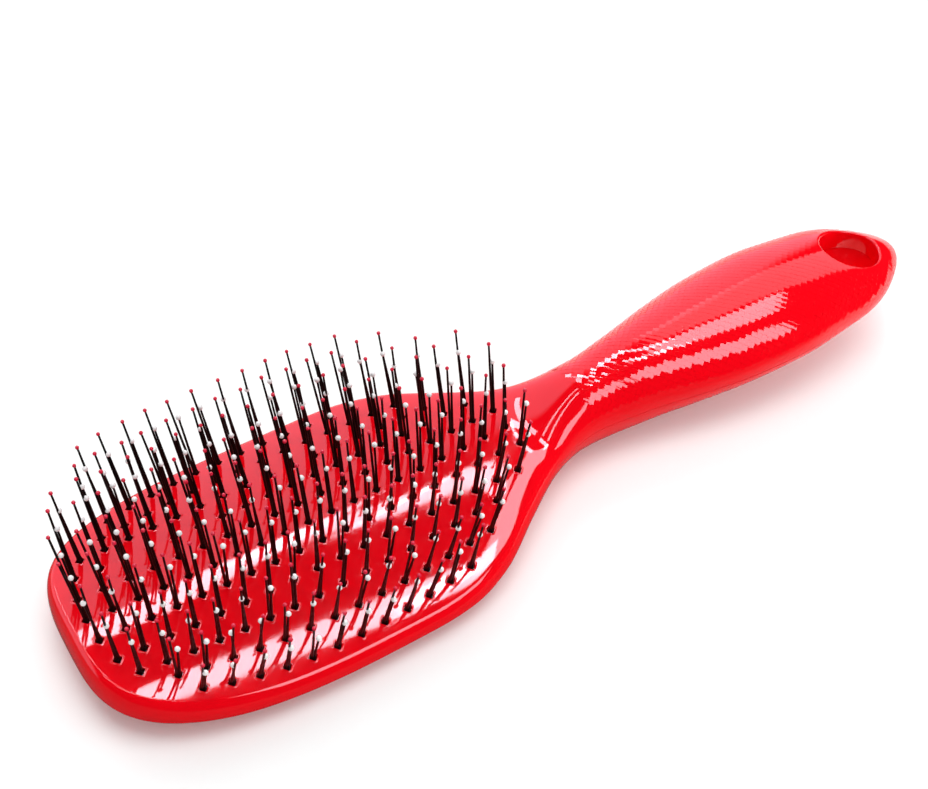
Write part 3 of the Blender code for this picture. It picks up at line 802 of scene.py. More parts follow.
@dataclass
class MouldedHalf:
    """One half of the body: a thin moulded wall that ends at the seam and round the hang hole."""

    form: BrushForm
    outline: Outline
    side: Side
    rim_points: int = 640
    rim_levels: int = 11
    cap_inset: float = 2.7 * MM
    side_wall: float = 2.0 * MM
    face_wall: float = 1.6 * MM
    seam_gap: float = 0.05 * MM
    fill_step: float = 1.5 * MM
    fill_edge_share: float = 0.6
    fill_clear_share: float = 0.55
    lip_round: float = 0.8 * MM
    lip_levels: int = 7
    collar: float = 2.2 * MM
    collar_middle_share: float = 1.03
    collar_end_share: float = 1.06
    hang_points: int = 72
    hang_tolerance: float = 0.02

    @cached_property
    def surface(self) -> Surface:
        """The half's outer surface."""
        return Surface(self.form, self.outline, self.side)

    @property
    def seam_hole(self) -> Array:
        """Half-sizes of the hang hole at the seam."""
        return np.array((self.form.hang_length, self.form.hang_width)) / 2

    @property
    def surface_hole(self) -> Array:
        """Half-sizes of the hang hole at the half's outer surface.

        Returns:
            Along the brush and across it.
        """
        if self.side is Side.FRONT:
            return self.seam_hole
        return np.array((self.form.hang_back_length, self.form.hang_back_width)) / 2

    def hang_loop(self, half: Array, offset: float) -> tuple[Array, Array]:
        """Loop round the hang hole.

        Args:
            half: The hole's half-sizes.
            offset: Distance outside the hole's wall.

        Returns:
            Positions, and directions that point away from the hole's middle.
        """
        angle = np.arange(self.hang_points) * 2 * math.pi / self.hang_points
        circle = np.column_stack((np.cos(angle), np.sin(angle)))
        away = unit(circle / half)
        return circle * half + away * offset + (self.form.hang_station, 0.0), away

    def add_hang_hole(self, sheet: Sheet) -> None:
        """Add the rounded lip of the hang hole and the foot of its collar.

        Args:
            sheet: Takes the points.
        """
        for angle in np.linspace(0.0, math.pi / 2, self.lip_levels):
            loop, away = self.hang_loop(self.surface_hole, self.lip_round * (1 - math.cos(angle)))
            drop = self.lip_round * (1 - math.sin(angle))
            sheet.add(loop, -drop, -away * math.cos(angle), closed=True)
        for offset in (self.collar, self.collar * self.collar_end_share):
            sheet.add(self.hang_loop(self.seam_hole, offset)[0], closed=True)

    def widen(self, plan: Array) -> Array:
        """Move points round the hole outwards, as far as its wall leans between surface and seam.

        Args:
            plan: Positions within the collar, at the surface.

        Returns:
            Their positions at the seam.
        """
        collar = self.seam_hole + self.collar * self.collar_end_share
        middle = (self.form.hang_station, 0.0)
        place = (plan - middle) / collar
        reach = np.linalg.norm(place, axis=1, keepdims=True)
        direction = place / reach
        surface, seam = (1 / np.linalg.norm(direction * collar / hole, axis=1, keepdims=True)
                         for hole in (self.surface_hole, self.seam_hole))
        return direction * collar * (seam + (reach - surface) * (1 - seam) / (1 - surface)) + middle

    def add_relief(self, sheet: Sheet) -> None:
        """Add what else stands in the surface; the plain half has nothing."""

    def add_fill(self, sheet: Sheet) -> None:
        """Fill the rest of the surface with evenly set points, clear of all others.

        Args:
            sheet: Takes the points.
        """
        taken = search_tree(np.concatenate(sheet.points))
        step = self.fill_step
        columns = np.arange(0.0, self.form.length, step * math.sqrt(3) / 2)
        half = self.form.head_width / 2
        rows = np.arange(-half, half, step)
        grid = np.array([(x, y + (step / 2 if number % 2 else 0.0))
                         for number, x in enumerate(columns) for y in rows])
        grid = grid[np.abs(grid[:, 1]) < self.form.half_width(grid[:, 0])]
        inset, _ = self.outline.reach(grid)
        grid = grid[inset > self.cap_inset + self.fill_edge_share * step]
        clear = [taken.find((x, y, 0.0))[2] > self.fill_clear_share * step for x, y in grid]
        loop, _ = self.hang_loop(self.surface_hole, 0.0)
        sheet.add(grid[np.array(clear) & ~inside(grid, loop)])

    def is_open(self, centres: Array) -> Array:
        """Tell which places in plan are openings in the wall."""
        return inside(centres, self.hang_loop(self.surface_hole, 0.0)[0])

    def rim(self) -> tuple[Array, Array, Array, Array]:
        """Build the levels of the side wall, from the seam to the cap.

        Returns:
            Outer positions, normals and inner positions as (level, point, axis), and the top
            level's plan positions.
        """
        ring, outward = self.outline.ring(self.rim_points)
        angles = np.linspace(0.0, math.pi / 2, self.rim_levels)
        insets = np.append(self.form.ridge_inset * (1 - np.cos(angles)), self.cap_inset)
        outer, normals, inner = [], [], []
        cap_plan = ring - outward * self.cap_inset
        cap_z, _ = self.surface.sample_inset(cap_plan, np.full(len(ring), self.cap_inset), outward)
        inner_cap = cap_z - self.side.value * self.face_wall
        seam = self.form.along(self.form.seam_line, ring[:, 0])
        for inset in insets:
            plan = ring - outward * inset
            z, normal = self.surface.sample_inset(plan, np.full(len(ring), inset), outward)
            if inset == 0:
                z = z + self.side.value * self.seam_gap
            outer.append(self.form.world(plan, z))
            normals.append(normal)
            reach = self.side_wall + (self.cap_inset - self.side_wall) * inset / self.cap_inset
            climb = (z - seam) / (cap_z - seam)
            inner.append(self.form.world(ring - outward * reach, seam + (inner_cap - seam) * climb))
        return np.array(outer), np.array(normals), np.array(inner), cap_plan

    def underside(self, plan: Array, z: Array) -> tuple[Array, Array]:
        """Find the wall's inner surface under points of its outer one.

        Args:
            plan: Positions on the outer surface.
            z: Their heights.

        Returns:
            Positions and heights on the inner surface, which goes to the seam round the hang hole.
        """
        plan, z = plan.copy(), z - self.side.value * self.face_wall
        collar, _ = self.hang_loop(self.seam_hole, self.collar * self.collar_middle_share)
        near_hole = inside(plan, collar)
        plan[near_hole] = self.widen(plan[near_hole])
        seam = self.form.along(self.form.seam_line, plan[:, 0])
        z[near_hole] = (seam + self.side.value * self.seam_gap)[near_hole]
        return plan, z

    def build(self, name: str) -> Mesh:
        """Make the closed wall.

        Args:
            name: Name of the mesh.

        Returns:
            The mesh, in the part's frame, with the surface's own normals.
        """
        outer, normals, inner, cap_plan = self.rim()
        levels, points = outer.shape[:2]
        sheet = Sheet()
        sheet.add(cap_plan, closed=True)
        self.add_hang_hole(sheet)
        self.add_relief(sheet)
        self.add_fill(sheet)
        plan, lifts, tilts, first, triangles = sheet.join()
        centres = plan[triangles].mean(axis=1)
        triangles = triangles[inside(centres, cap_plan) & ~self.is_open(centres)]
        z, cap_normals = self.surface.sample(plan)
        tilt_square = (tilts ** 2).sum(axis=1)
        lean = np.column_stack((tilts, np.zeros(len(tilts))))
        upright = np.sqrt(np.clip(1 - tilt_square, 0.0, 1.0))
        leaning = tilt_square > 0
        cap_normals[leaning] = (cap_normals * upright[:, None] + lean)[leaning]
        top = self.form.world(plan, z + self.side.value * lifts)
        below = self.form.world(*self.underside(plan, z))

        shared = (first >= 0) & (first < points)
        number = np.arange(len(plan)) + levels * points
        number[shared] = (levels - 1) * points + first[shared]
        level = np.arange(levels - 1)[:, None] * points
        place, ahead = np.arange(points), np.roll(np.arange(points), -1)
        quads = np.stack([level + place, level + ahead, level + points + ahead,
                          level + points + place], axis=-1).reshape(-1, 4)
        faces = [tuple(face) for face in quads.tolist() + number[triangles].tolist()]
        return self.close(name, np.concatenate((outer.reshape(-1, 3), top)),
                          np.concatenate((inner.reshape(-1, 3), below)),
                          np.concatenate((normals.reshape(-1, 3), cap_normals)), faces)

    def close(self, name: str, outer: Array, inner: Array, directions: Array,
              faces: list[tuple[int, ...]]) -> Mesh:
        """Join the outer and inner surfaces with walls along all their edges.

        Args:
            name: Name of the mesh.
            outer: Corners of the outer surface.
            inner: The same corners on the inner surface.
            directions: Normals of the outer surface.
            faces: Faces of the outer surface, as the front half has them.

        Returns:
            The closed mesh.
        """
        if self.side is Side.BACK:
            faces = [face[::-1] for face in faces]
        edges = dict.fromkeys(pair for face in faces for pair in zip(face, face[1:] + face[:1]))
        count = len(outer)
        walls = [(b, a, a + count, b + count) for a, b in edges if (b, a) not in edges]
        inner_faces = [tuple(corner + count for corner in face[::-1]) for face in faces]
        everything = faces + walls + inner_faces
        corners = np.concatenate((outer, inner))
        used = np.zeros(len(corners), bool)
        used[[corner for face in everything for corner in face]] = True
        renumber = (np.cumsum(used) - 1).tolist()
        mesh = bpy.data.meshes.new(name)
        mesh.from_pydata(corners[used].tolist(), [],
                         [tuple(renumber[corner] for corner in face) for face in everything])
        mesh.shade_smooth()
        outer_loops = [directions[corner] for face in faces for corner in face]
        wall_loops = [normal for face in walls for normal in self.wall_normals(corners[list(face)])]
        inner_loops = [np.zeros(3)] * len(outer_loops)
        loops = outer_loops + wall_loops + inner_loops
        mesh.normals_split_custom_set([tuple(normal) for normal in loops])
        return mesh

    def wall_normals(self, ends: Array) -> Array:
        """Find the normals of one face of a wall, smooth in the hang hole and flat elsewhere.

        Args:
            ends: The face's corners, first those on the outer surface.

        Returns:
            A normal for each corner.
        """
        middle = np.array((self.form.hang_station - self.form.length / 2, 0.0))
        offset = (ends[:, :2] - middle) / self.seam_hole
        if (np.abs(np.linalg.norm(offset[2:], axis=1) - 1) < self.hang_tolerance).all():
            towards = unit(-offset / self.seam_hole)
            run = np.linalg.norm(ends[3, :2] - ends[0, :2])
            drop = abs(ends[3, 2] - ends[0, 2])
            return unit(np.column_stack((towards * drop, np.full(4, run))))
        flat = np.cross(ends[2] - ends[0], ends[3] - ends[1])
        return np.tile(flat / max(np.linalg.norm(flat), TINY), (4, 1))


@dataclass
class BristleLayout:
    """Where the tufts stand on the bristle face."""

    form: BrushForm
    surface: Surface
    row_tufts: tuple[int, ...] = (19, 19, 18, 16, 14, 12)
    row_shifts: tuple[float, ...] = (0.0, 0.07, -0.18, -0.67, -0.55, -0.99)
    head_bends: tuple[float, ...] = (0.0, 0.0, 0.0, 0.23, 0.54, 0.74)
    neck_bends: tuple[float, ...] = (0.0, 0.0, 0.0, 0.22, 0.28, 0.4)
    bend_power: float = 2.2

    @property
    def rows(self) -> range:
        """Row numbers, from the near edge to the far one."""
        outer = len(self.row_tufts) - 1
        return range(-outer, outer + 1)

    @property
    def pitch(self) -> float:
        """Distance between tufts along a row."""
        return (self.form.head_length - 2 * self.form.end_edge) / (self.row_tufts[0] - 1)

    def point(self, row: int, step: float) -> Pair:
        """Station and y at a step along a row, counted in tufts from its first one.

        Args:
            row: Number of the row.
            step: The place along it.

        Returns:
            The station and y.
        """
        number = abs(row)
        half = (self.row_tufts[number] - 1) / 2
        place = (step - half) / half
        bends = self.head_bends if place < 0 else self.neck_bends
        row_pitch = self.form.outer_row / (len(self.row_tufts) - 1)
        y = row_pitch * (number - bends[number] * abs(place) ** self.bend_power)
        station = self.form.middle + (step - half + self.row_shifts[number]) * self.pitch
        return station, math.copysign(y, row) if row else 0.0

    @cached_property
    def tufts(self) -> dict[int, list[Matrix]]:
        """Frames of the tufts of each row."""
        return {row: [self.surface.frame_at(*self.point(row, step))
                      for step in range(self.row_tufts[abs(row)])] for row in self.rows}


@dataclass
class FrontMoulding(MouldedHalf):
    """The front half, whose face carries a lipped diamond hole for each tuft and fine creases."""

    layout: BristleLayout | None = None
    hole_half: float = 1.22 * MM
    hole_bevel: float = 0.12
    lip_width: float = 0.40 * MM
    lip_height: float = 0.08 * MM
    lip_shares: tuple[float, ...] = (0.0, 0.4, 0.7, 1.0)
    crease_half: float = 0.13 * MM
    crease_depth: float = 0.08 * MM
    crease_flare: float = 0.30 * MM
    crease_points: int = 6
    crease_end_share: float = 0.5
    tail_length: float = 4.2 * MM

    def diamond(self, tuft: Matrix, half: float) -> Array:
        """Diamond with bevelled corners round a tuft.

        Args:
            tuft: The tuft's frame.
            half: Half of its diagonal.

        Returns:
            Plan positions of its eight corners.
        """
        bevel = self.hole_bevel
        corners = [(1 - bevel, -bevel), (1 - bevel, bevel), (bevel, 1 - bevel), (-bevel, 1 - bevel),
                   (bevel - 1, bevel), (bevel - 1, -bevel), (-bevel, bevel - 1), (bevel, bevel - 1)]
        places = [tuft @ Vector((x * half, y * half, 0.0)) for x, y in corners]
        return np.array([(place.x + self.form.length / 2, place.y) for place in places])

    def add_relief(self, sheet: Sheet) -> None:
        """Add the lips of the diamond holes and the creases between them.

        Args:
            sheet: Takes the points.
        """
        for row in self.layout.rows:
            for tuft in self.layout.tufts[row]:
                self.add_lip(sheet, tuft)
            count = self.layout.row_tufts[abs(row)]
            lip = self.lip_width * math.sqrt(2)
            margin = (self.hole_half + lip + self.crease_half) / self.layout.pitch
            for step in range(count - 1):
                self.add_crease(sheet, row, step + margin, step + 1 - margin)
        last = self.layout.row_tufts[0] - 1
        self.add_crease(sheet, 0, last + margin, last + self.tail_length / self.layout.pitch)

    def add_lip(self, sheet: Sheet, tuft: Matrix) -> None:
        """Add the low rounded lip round one hole.

        Args:
            sheet: Takes the points.
            tuft: The tuft's frame.
        """
        middle = np.array((tuft.translation.x + self.form.length / 2, tuft.translation.y))
        for share in self.lip_shares:
            loop = self.diamond(tuft, self.hole_half + share * self.lip_width * math.sqrt(2))
            away = unit(loop - middle)
            lift = self.lip_height * (1 - share ** 2) ** 2
            slope = 4 * share * (1 - share ** 2) * self.lip_height / self.lip_width
            sheet.add(loop, lift, away * slope / math.sqrt(1 + slope ** 2), closed=True)

    def add_crease(self, sheet: Sheet, row: int, start: float, end: float) -> None:
        """Add one fine groove between two steps of a row, wider where it leaves a hole.

        Args:
            sheet: Takes the points.
            row: Number of the row.
            start: Step at which it leaves the hole.
            end: Step at which it ends.
        """
        steps = np.linspace(start, end, self.crease_points)
        line = np.array([self.layout.point(row, step) for step in steps])
        along = unit(np.gradient(line, axis=0))
        across = np.column_stack((-along[:, 1], along[:, 0]))
        half = np.full(len(steps), self.crease_half)
        half[0] = self.crease_flare
        depth = np.full(len(steps), self.crease_depth)
        depth[-1] *= self.crease_end_share
        sheet.add(line, -depth, closed=False)
        for turn in (-1, 1):
            sheet.add(line + across * (turn * half)[:, None], closed=False)

    def is_open(self, centres: Array) -> Array:
        """Tell which places in plan are openings in the wall.

        Args:
            centres: The places.

        Returns:
            One truth value for each.
        """
        result = super().is_open(centres)
        for row in self.layout.rows:
            for tuft in self.layout.tufts[row]:
                loop = self.diamond(tuft, self.hole_half)
                near = np.abs(centres - loop.mean(axis=0)).max(axis=1) < 2 * self.hole_half
                result[np.flatnonzero(near)[inside(centres[near], loop)]] = True
        return result


class NodeForm(Nodes):
    """A Geometry Nodes tree with named inputs, which stands forms on points."""

    def __init__(self, name: str) -> None:
        """Start an empty tree.

        Args:
            name: The tree's name.
        """
        super().__init__(bpy.data.node_groups.new(name, "GeometryNodeTree"))
        self.tree.is_modifier = True
        self.keys: dict[str, str] = {}
        self._input = self.node("NodeGroupInput", {})
        self._output = self.node("NodeGroupOutput", {})
        self.points = self.size("Points", "NodeSocketGeometry")
        self.tree.interface.new_socket("Mesh", in_out="OUTPUT", socket_type="NodeSocketGeometry")

    def size(self, name: str, kind: str = "NodeSocketFloat") -> Socket:
        """Add a named input and return its socket.

        Args:
            name: The input's name.
            kind: Its socket type.

        Returns:
            The socket that carries its value.
        """
        socket = self.tree.interface.new_socket(name, in_out="INPUT", socket_type=kind)
        self.keys[name] = socket.identifier
        return self._input.outputs[name]

    def attribute(self, name: str, kind: str) -> Socket:
        """Read a named attribute of the points."""
        return self.out("GeometryNodeInputNamedAttribute", {"Name": name}, "Attribute",
                        data_type=kind)

    def vector(self, **axes: Socket | float) -> Socket:
        """Make a vector of its X, Y and Z; those left out are 0."""
        return self.out("ShaderNodeCombineXYZ", axes)

    def equal(self, value: Socket, number: int) -> Socket:
        """Tell where a whole number has some value."""
        return self.out("FunctionNodeCompare", {2: value, 3: number}, data_type="INT",
                        operation="EQUAL")

    def set_on(self, instance: Socket, kind: int | None = None, **values: Socket) -> Socket:
        """Stand a copy of a form on each point, turned as the point says.

        Args:
            instance: The form.
            kind: The kind of points to use, or None for all.
            values: The copies' Scale, and the Points where they are not the tree's own.

        Returns:
            The copies.
        """
        if kind is not None:
            values["Selection"] = self.equal(self.attribute("kind", "INT"), kind)
        return self.out("GeometryNodeInstanceOnPoints", {
            "Points": self.points, "Instance": instance,
            "Rotation": self.attribute("turn", "QUATERNION"), **values})

    def finish(self, *parts: Socket) -> None:
        """End the tree: join the parts, make them real and dress them.

        Args:
            parts: Copies of forms, in the order that the mesh takes.
        """
        joined = self.node("GeometryNodeJoinGeometry", {})
        for part in reversed(parts):
            self.fill(joined, {"Geometry": part})
        real = self.out("GeometryNodeRealizeInstances", {"Geometry": joined.outputs["Geometry"]})
        finish = self.size("Finish", "NodeSocketMaterial")
        dressed = self.out("GeometryNodeSetMaterial", {"Geometry": real, "Material": finish})
        self.fill(self._output, {0: dressed})

    def grow(self, name: str, points: list[Vector], turns: list[Quaternion], sizes: dict[str, Any],
             kinds: list[int] | None = None, **attributes: list[float]) -> Mesh:
        """Run the tree on points and keep the result as a plain mesh.

        Args:
            name: Name of the mesh.
            points: Where the forms stand.
            turns: How each is turned.
            sizes: Values of the named inputs.
            kinds: A kind for each point.
            attributes: Further numbers for each point.

        Returns:
            The mesh.
        """
        base = bpy.data.meshes.new(f"{name}_points")
        base.from_pydata([tuple(point) for point in points], [], [])
        carried = [("turn", "QUATERNION", np.float32, [tuple(turn) for turn in turns]),
                   ("kind", "INT", np.int32, kinds or [0] * len(points))]
        carried += [(key, "FLOAT", np.float32, values) for key, values in attributes.items()]
        for key, kind, number, values in carried:
            attribute = base.attributes.new(key, kind, "POINT")
            attribute.data.foreach_set("value", np.array(values, dtype=number).ravel())
        carrier = add_object(f"{name}_carrier", base)
        modifier = carrier.modifiers.new("form", "NODES")
        modifier.node_group = self.tree
        for key, value in sizes.items():
            modifier[self.keys[key]] = value
        evaluated = carrier.evaluated_get(bpy.context.evaluated_depsgraph_get())
        mesh = bpy.data.meshes.new_from_object(evaluated)
        mesh.name = name
        carrier.modifiers.remove(modifier)
        bpy.data.objects.remove(carrier)
        bpy.data.meshes.remove(base)
        return mesh


class Pin(NamedTuple):
    """One pin: where it starts, how it is turned and how long it is."""

    foot: Vector
    turn: Quaternion
    length: float


@dataclass
class Bristles:
    """Eleven moulded strips of pins with their feet, and the round tips dipped on the pins."""

    layout: BristleLayout
    strip_width: float = 3.0 * MM
    strip_top: float = 1.9 * MM
    strip_bottom: float = 3.5 * MM
    foot_half: float = 1.0 * MM
    foot_top_half: float = 0.66 * MM
    foot_rise: float = 0.9 * MM
    foot_sink: float = 2.2 * MM
    pin_offset: float = 0.27 * MM
    pin_foot_radius: float = 0.36 * MM
    pin_tip_radius: float = 0.25 * MM
    red_tip_radius: float = 0.50 * MM
    white_tip_radius: float = 0.68 * MM
    long_pin: float = 22.6 * MM
    short_pin: float = 17.0 * MM
    lean: float = -0.043
    lean_rise: float = 0.35
    across_share: float = 1.1
    near_row_stations: Triple = (14.0 * MM, 45.0 * MM, 105.0 * MM)
    near_row_leans: Triple = (-0.14, 0.0, 0.12)
    side_limit: float = 36.3 * MM
    wander: float = 0.018
    cut_mm: float = 0.25
    start_share: float = 0.6
    foot_sides: int = 4
    pin_sides: int = 8
    pin_segments: int = 2
    bead_segments: int = 8
    bead_rings: int = 6
    bead_sizes: Pair = (0.93, 1.03)
    seed: int = 11
    pins: dict[int, list[Pin]] = field(default_factory=dict)

    def __post_init__(self) -> None:
        """Settle where each pin stands and how it leans, the same on each run.

        The pins follow the face's normal across a row and lean a little to the head's end along it.
        """
        chance = np.random.default_rng(self.seed)
        for row in self.layout.rows:
            self.pins[row] = []
            for tuft in self.layout.tufts[row]:
                along, across, normal = (tuft.to_3x3().col[axis] for axis in range(3))
                place = tuft.translation.x + self.layout.form.length / 2
                regular = self.lean + self.lean_rise * (place - self.layout.form.length / 4)
                outwards = normal.y * self.across_share
                if row == self.layout.rows[0]:
                    outwards += float(np.interp(place, self.near_row_stations, self.near_row_leans))
                for side, length in ((-1, self.long_pin), (1, self.short_pin)):
                    limit = 2 * self.wander
                    lean, tilt = np.clip(chance.normal(0.0, self.wander, 2), -limit, limit)
                    square = Vector((normal.z * (regular + lean), outwards, normal.z))
                    direction = (square + across * tilt).normalized()
                    foot = tuft.translation + along * side * self.pin_offset
                    foot += normal * self.foot_rise * self.start_share
                    edges = (-self.side_limit, self.side_limit)
                    low, high = ((edge - foot.y) / length for edge in edges)
                    direction.y = min(max(direction.y, low), high)
                    cut = chance.uniform(0.0, self.cut_mm) * MM
                    self.pins[row].append(Pin(foot, direction.to_track_quat("Z", "Y"),
                                              length - self.foot_rise * self.start_share - cut))

    @cached_property
    def strip_tree(self) -> NodeForm:
        """The tree that stands feet and pins on their points.

        Returns:
            The tree, made once.
        """
        form = NodeForm("pin_strip")
        foot = form.out("GeometryNodeMeshCone", {
            "Vertices": self.foot_sides, "Radius Top": form.size("Foot top"),
            "Radius Bottom": form.size("Foot base"), "Depth": form.size("Foot depth")})
        sunk = form.out("GeometryNodeTransform", {
            "Geometry": foot, "Translation": form.vector(Z=form.size("Foot start"))})
        flat = form.out("GeometryNodeSetShadeSmooth", {"Geometry": sunk, "Shade Smooth": False})
        shaft = form.out("GeometryNodeMeshCone", {
            "Vertices": self.pin_sides, "Side Segments": self.pin_segments,
            "Radius Top": form.size("Pin tip"), "Radius Bottom": form.size("Pin foot"),
            "Depth": 1.0})
        stretch = form.vector(X=1.0, Y=1.0, Z=form.attribute("length", "FLOAT"))
        form.finish(form.set_on(flat, kind=0), form.set_on(shaft, kind=1, Scale=stretch))
        return form

    @cached_property
    def bead_tree(self) -> NodeForm:
        """The tree that sets a round tip on the end of each pin.

        Returns:
            The tree, made once.
        """
        form = NodeForm("dipped_tips")
        bead = form.out("GeometryNodeMeshUVSphere", {
            "Segments": self.bead_segments, "Rings": self.bead_rings,
            "Radius": form.size("Radius")})
        smooth = form.out("GeometryNodeSetShadeSmooth", {"Geometry": bead})
        offset = form.out("FunctionNodeRotateVector", {
            "Vector": form.vector(Z=form.attribute("length", "FLOAT")),
            "Rotation": form.attribute("turn", "QUATERNION")})
        ends = form.out("GeometryNodeSetPosition", {"Geometry": form.points, "Offset": offset})
        vary = form.out("FunctionNodeRandomValue", {
            2: self.bead_sizes[0], 3: self.bead_sizes[1],
            "Seed": form.size("Seed", "NodeSocketInt")}, 1, data_type="FLOAT")
        form.finish(form.set_on(smooth, Scale=form.vector(X=vary, Y=vary, Z=vary), Points=ends))
        return form

    def bar(self, row: int) -> tuple[list[Vector], list[tuple[int, ...]]]:
        """The bar under the face that carries one row.

        Args:
            row: Number of the row.

        Returns:
            Corners and faces of the closed bar.
        """
        count = self.layout.row_tufts[abs(row)]
        end = self.strip_width / 2 / self.layout.pitch
        steps = [-end] + [step + 0.5 for step in range(1, count - 2)] + [count - 1 + end]
        bottom, top = self.strip_bottom, self.strip_top
        section = [(side * self.strip_width / 2, -depth)
                   for side, depth in ((-1, bottom), (1, bottom), (1, top), (-1, top))]
        corners: list[Vector] = []
        faces: list[tuple[int, ...]] = [(3, 2, 1, 0)]
        for number, step in enumerate(steps):
            place = self.layout.surface.frame_at(*self.layout.point(row, step))
            corners += [place @ Vector((0.0, y, z)) for y, z in section]
            if number:
                low, high = 4 * (number - 1), 4 * number
                faces += [(low + a, low + b, high + b, high + a)
                          for a, b in ((0, 1), (1, 2), (2, 3), (3, 0))]
        last = 4 * (len(steps) - 1)
        faces.append((last, last + 1, last + 2, last + 3))
        return corners, faces

    def strip(self, name: str, row: int, finish: Material) -> Mesh:
        """Make one row: its bar, feet and pins.

        Args:
            name: Name of the mesh.
            row: Number of the row.
            finish: The row's material.

        Returns:
            The mesh.
        """
        feet = self.layout.tufts[row]
        pins = self.pins[row]
        mesh = self.strip_tree.grow(
            name,
            [tuft.translation for tuft in feet] + [pin.foot for pin in pins],
            [tuft.to_quaternion() for tuft in feet] + [pin.turn for pin in pins],
            {"Foot top": self.foot_top_half, "Foot base": self.foot_half,
             "Foot start": -self.foot_sink, "Foot depth": self.foot_sink + self.foot_rise,
             "Pin tip": self.pin_tip_radius, "Pin foot": self.pin_foot_radius, "Finish": finish},
            kinds=[0] * len(feet) + [1] * len(pins),
            length=[0.0] * len(feet) + [pin.length - self.red_tip_radius for pin in pins])
        return self.with_bar(mesh, row)

    def with_bar(self, mesh: Mesh, row: int) -> Mesh:
        """Join the row's bar on to its feet and pins.

        Args:
            mesh: The feet and pins.
            row: Number of the row.

        Returns:
            The joined mesh, under the same name.
        """
        corners, faces = self.bar(row)
        start, name = len(mesh.vertices), mesh.name
        smooth = [polygon.use_smooth for polygon in mesh.polygons] + [False] * len(faces)
        points = [vertex.co.copy() for vertex in mesh.vertices] + corners
        shapes = [tuple(polygon.vertices) for polygon in mesh.polygons]
        shapes += [tuple(corner + start for corner in face) for face in faces]
        bpy.data.meshes.remove(mesh)
        joined = bpy.data.meshes.new(name)
        joined.from_pydata(points, [], shapes)
        joined.polygons.foreach_set("use_smooth", smooth)
        return joined

    def beads(self, name: str, pins: list[Pin], radius: float, finish: Material) -> Mesh:
        """Make the round tips of some pins.

        Args:
            name: Name of the mesh.
            pins: The pins.
            radius: The tips' radius.
            finish: The tips' material.

        Returns:
            The mesh.
        """
        return self.bead_tree.grow(name, [pin.foot for pin in pins], [pin.turn for pin in pins],
                                   {"Radius": radius, "Seed": self.seed, "Finish": finish},
                                   length=[pin.length - radius for pin in pins])

    def build(self, nylon: Material, red: Material, white: Material) -> None:
        """Make and dress all strips and tips; each tuft's long pin comes before its short one.

        Args:
            nylon: Material of the strips.
            red: Material of the long pins' tips.
            white: Material of the short pins' tips.
        """
        for row in self.layout.rows:
            number = row + len(self.layout.row_tufts)
            name = f"pin_row_{number:02d}"
            mesh = self.strip(name, row, nylon)
            make_piece(name, mesh, nylon, Slot.NYLON, f"bristle_strip_{number:02d}")
        for name, first, radius, finish, slot in (
                ("red_tips", 0, self.red_tip_radius, red, Slot.RED_BEAD),
                ("white_tips", 1, self.white_tip_radius, white, Slot.WHITE_BEAD)):
            pins = [pin for row in self.layout.rows for pin in self.pins[row][first::2]]
            make_piece(name, self.beads(name, pins, radius, finish), finish, slot)


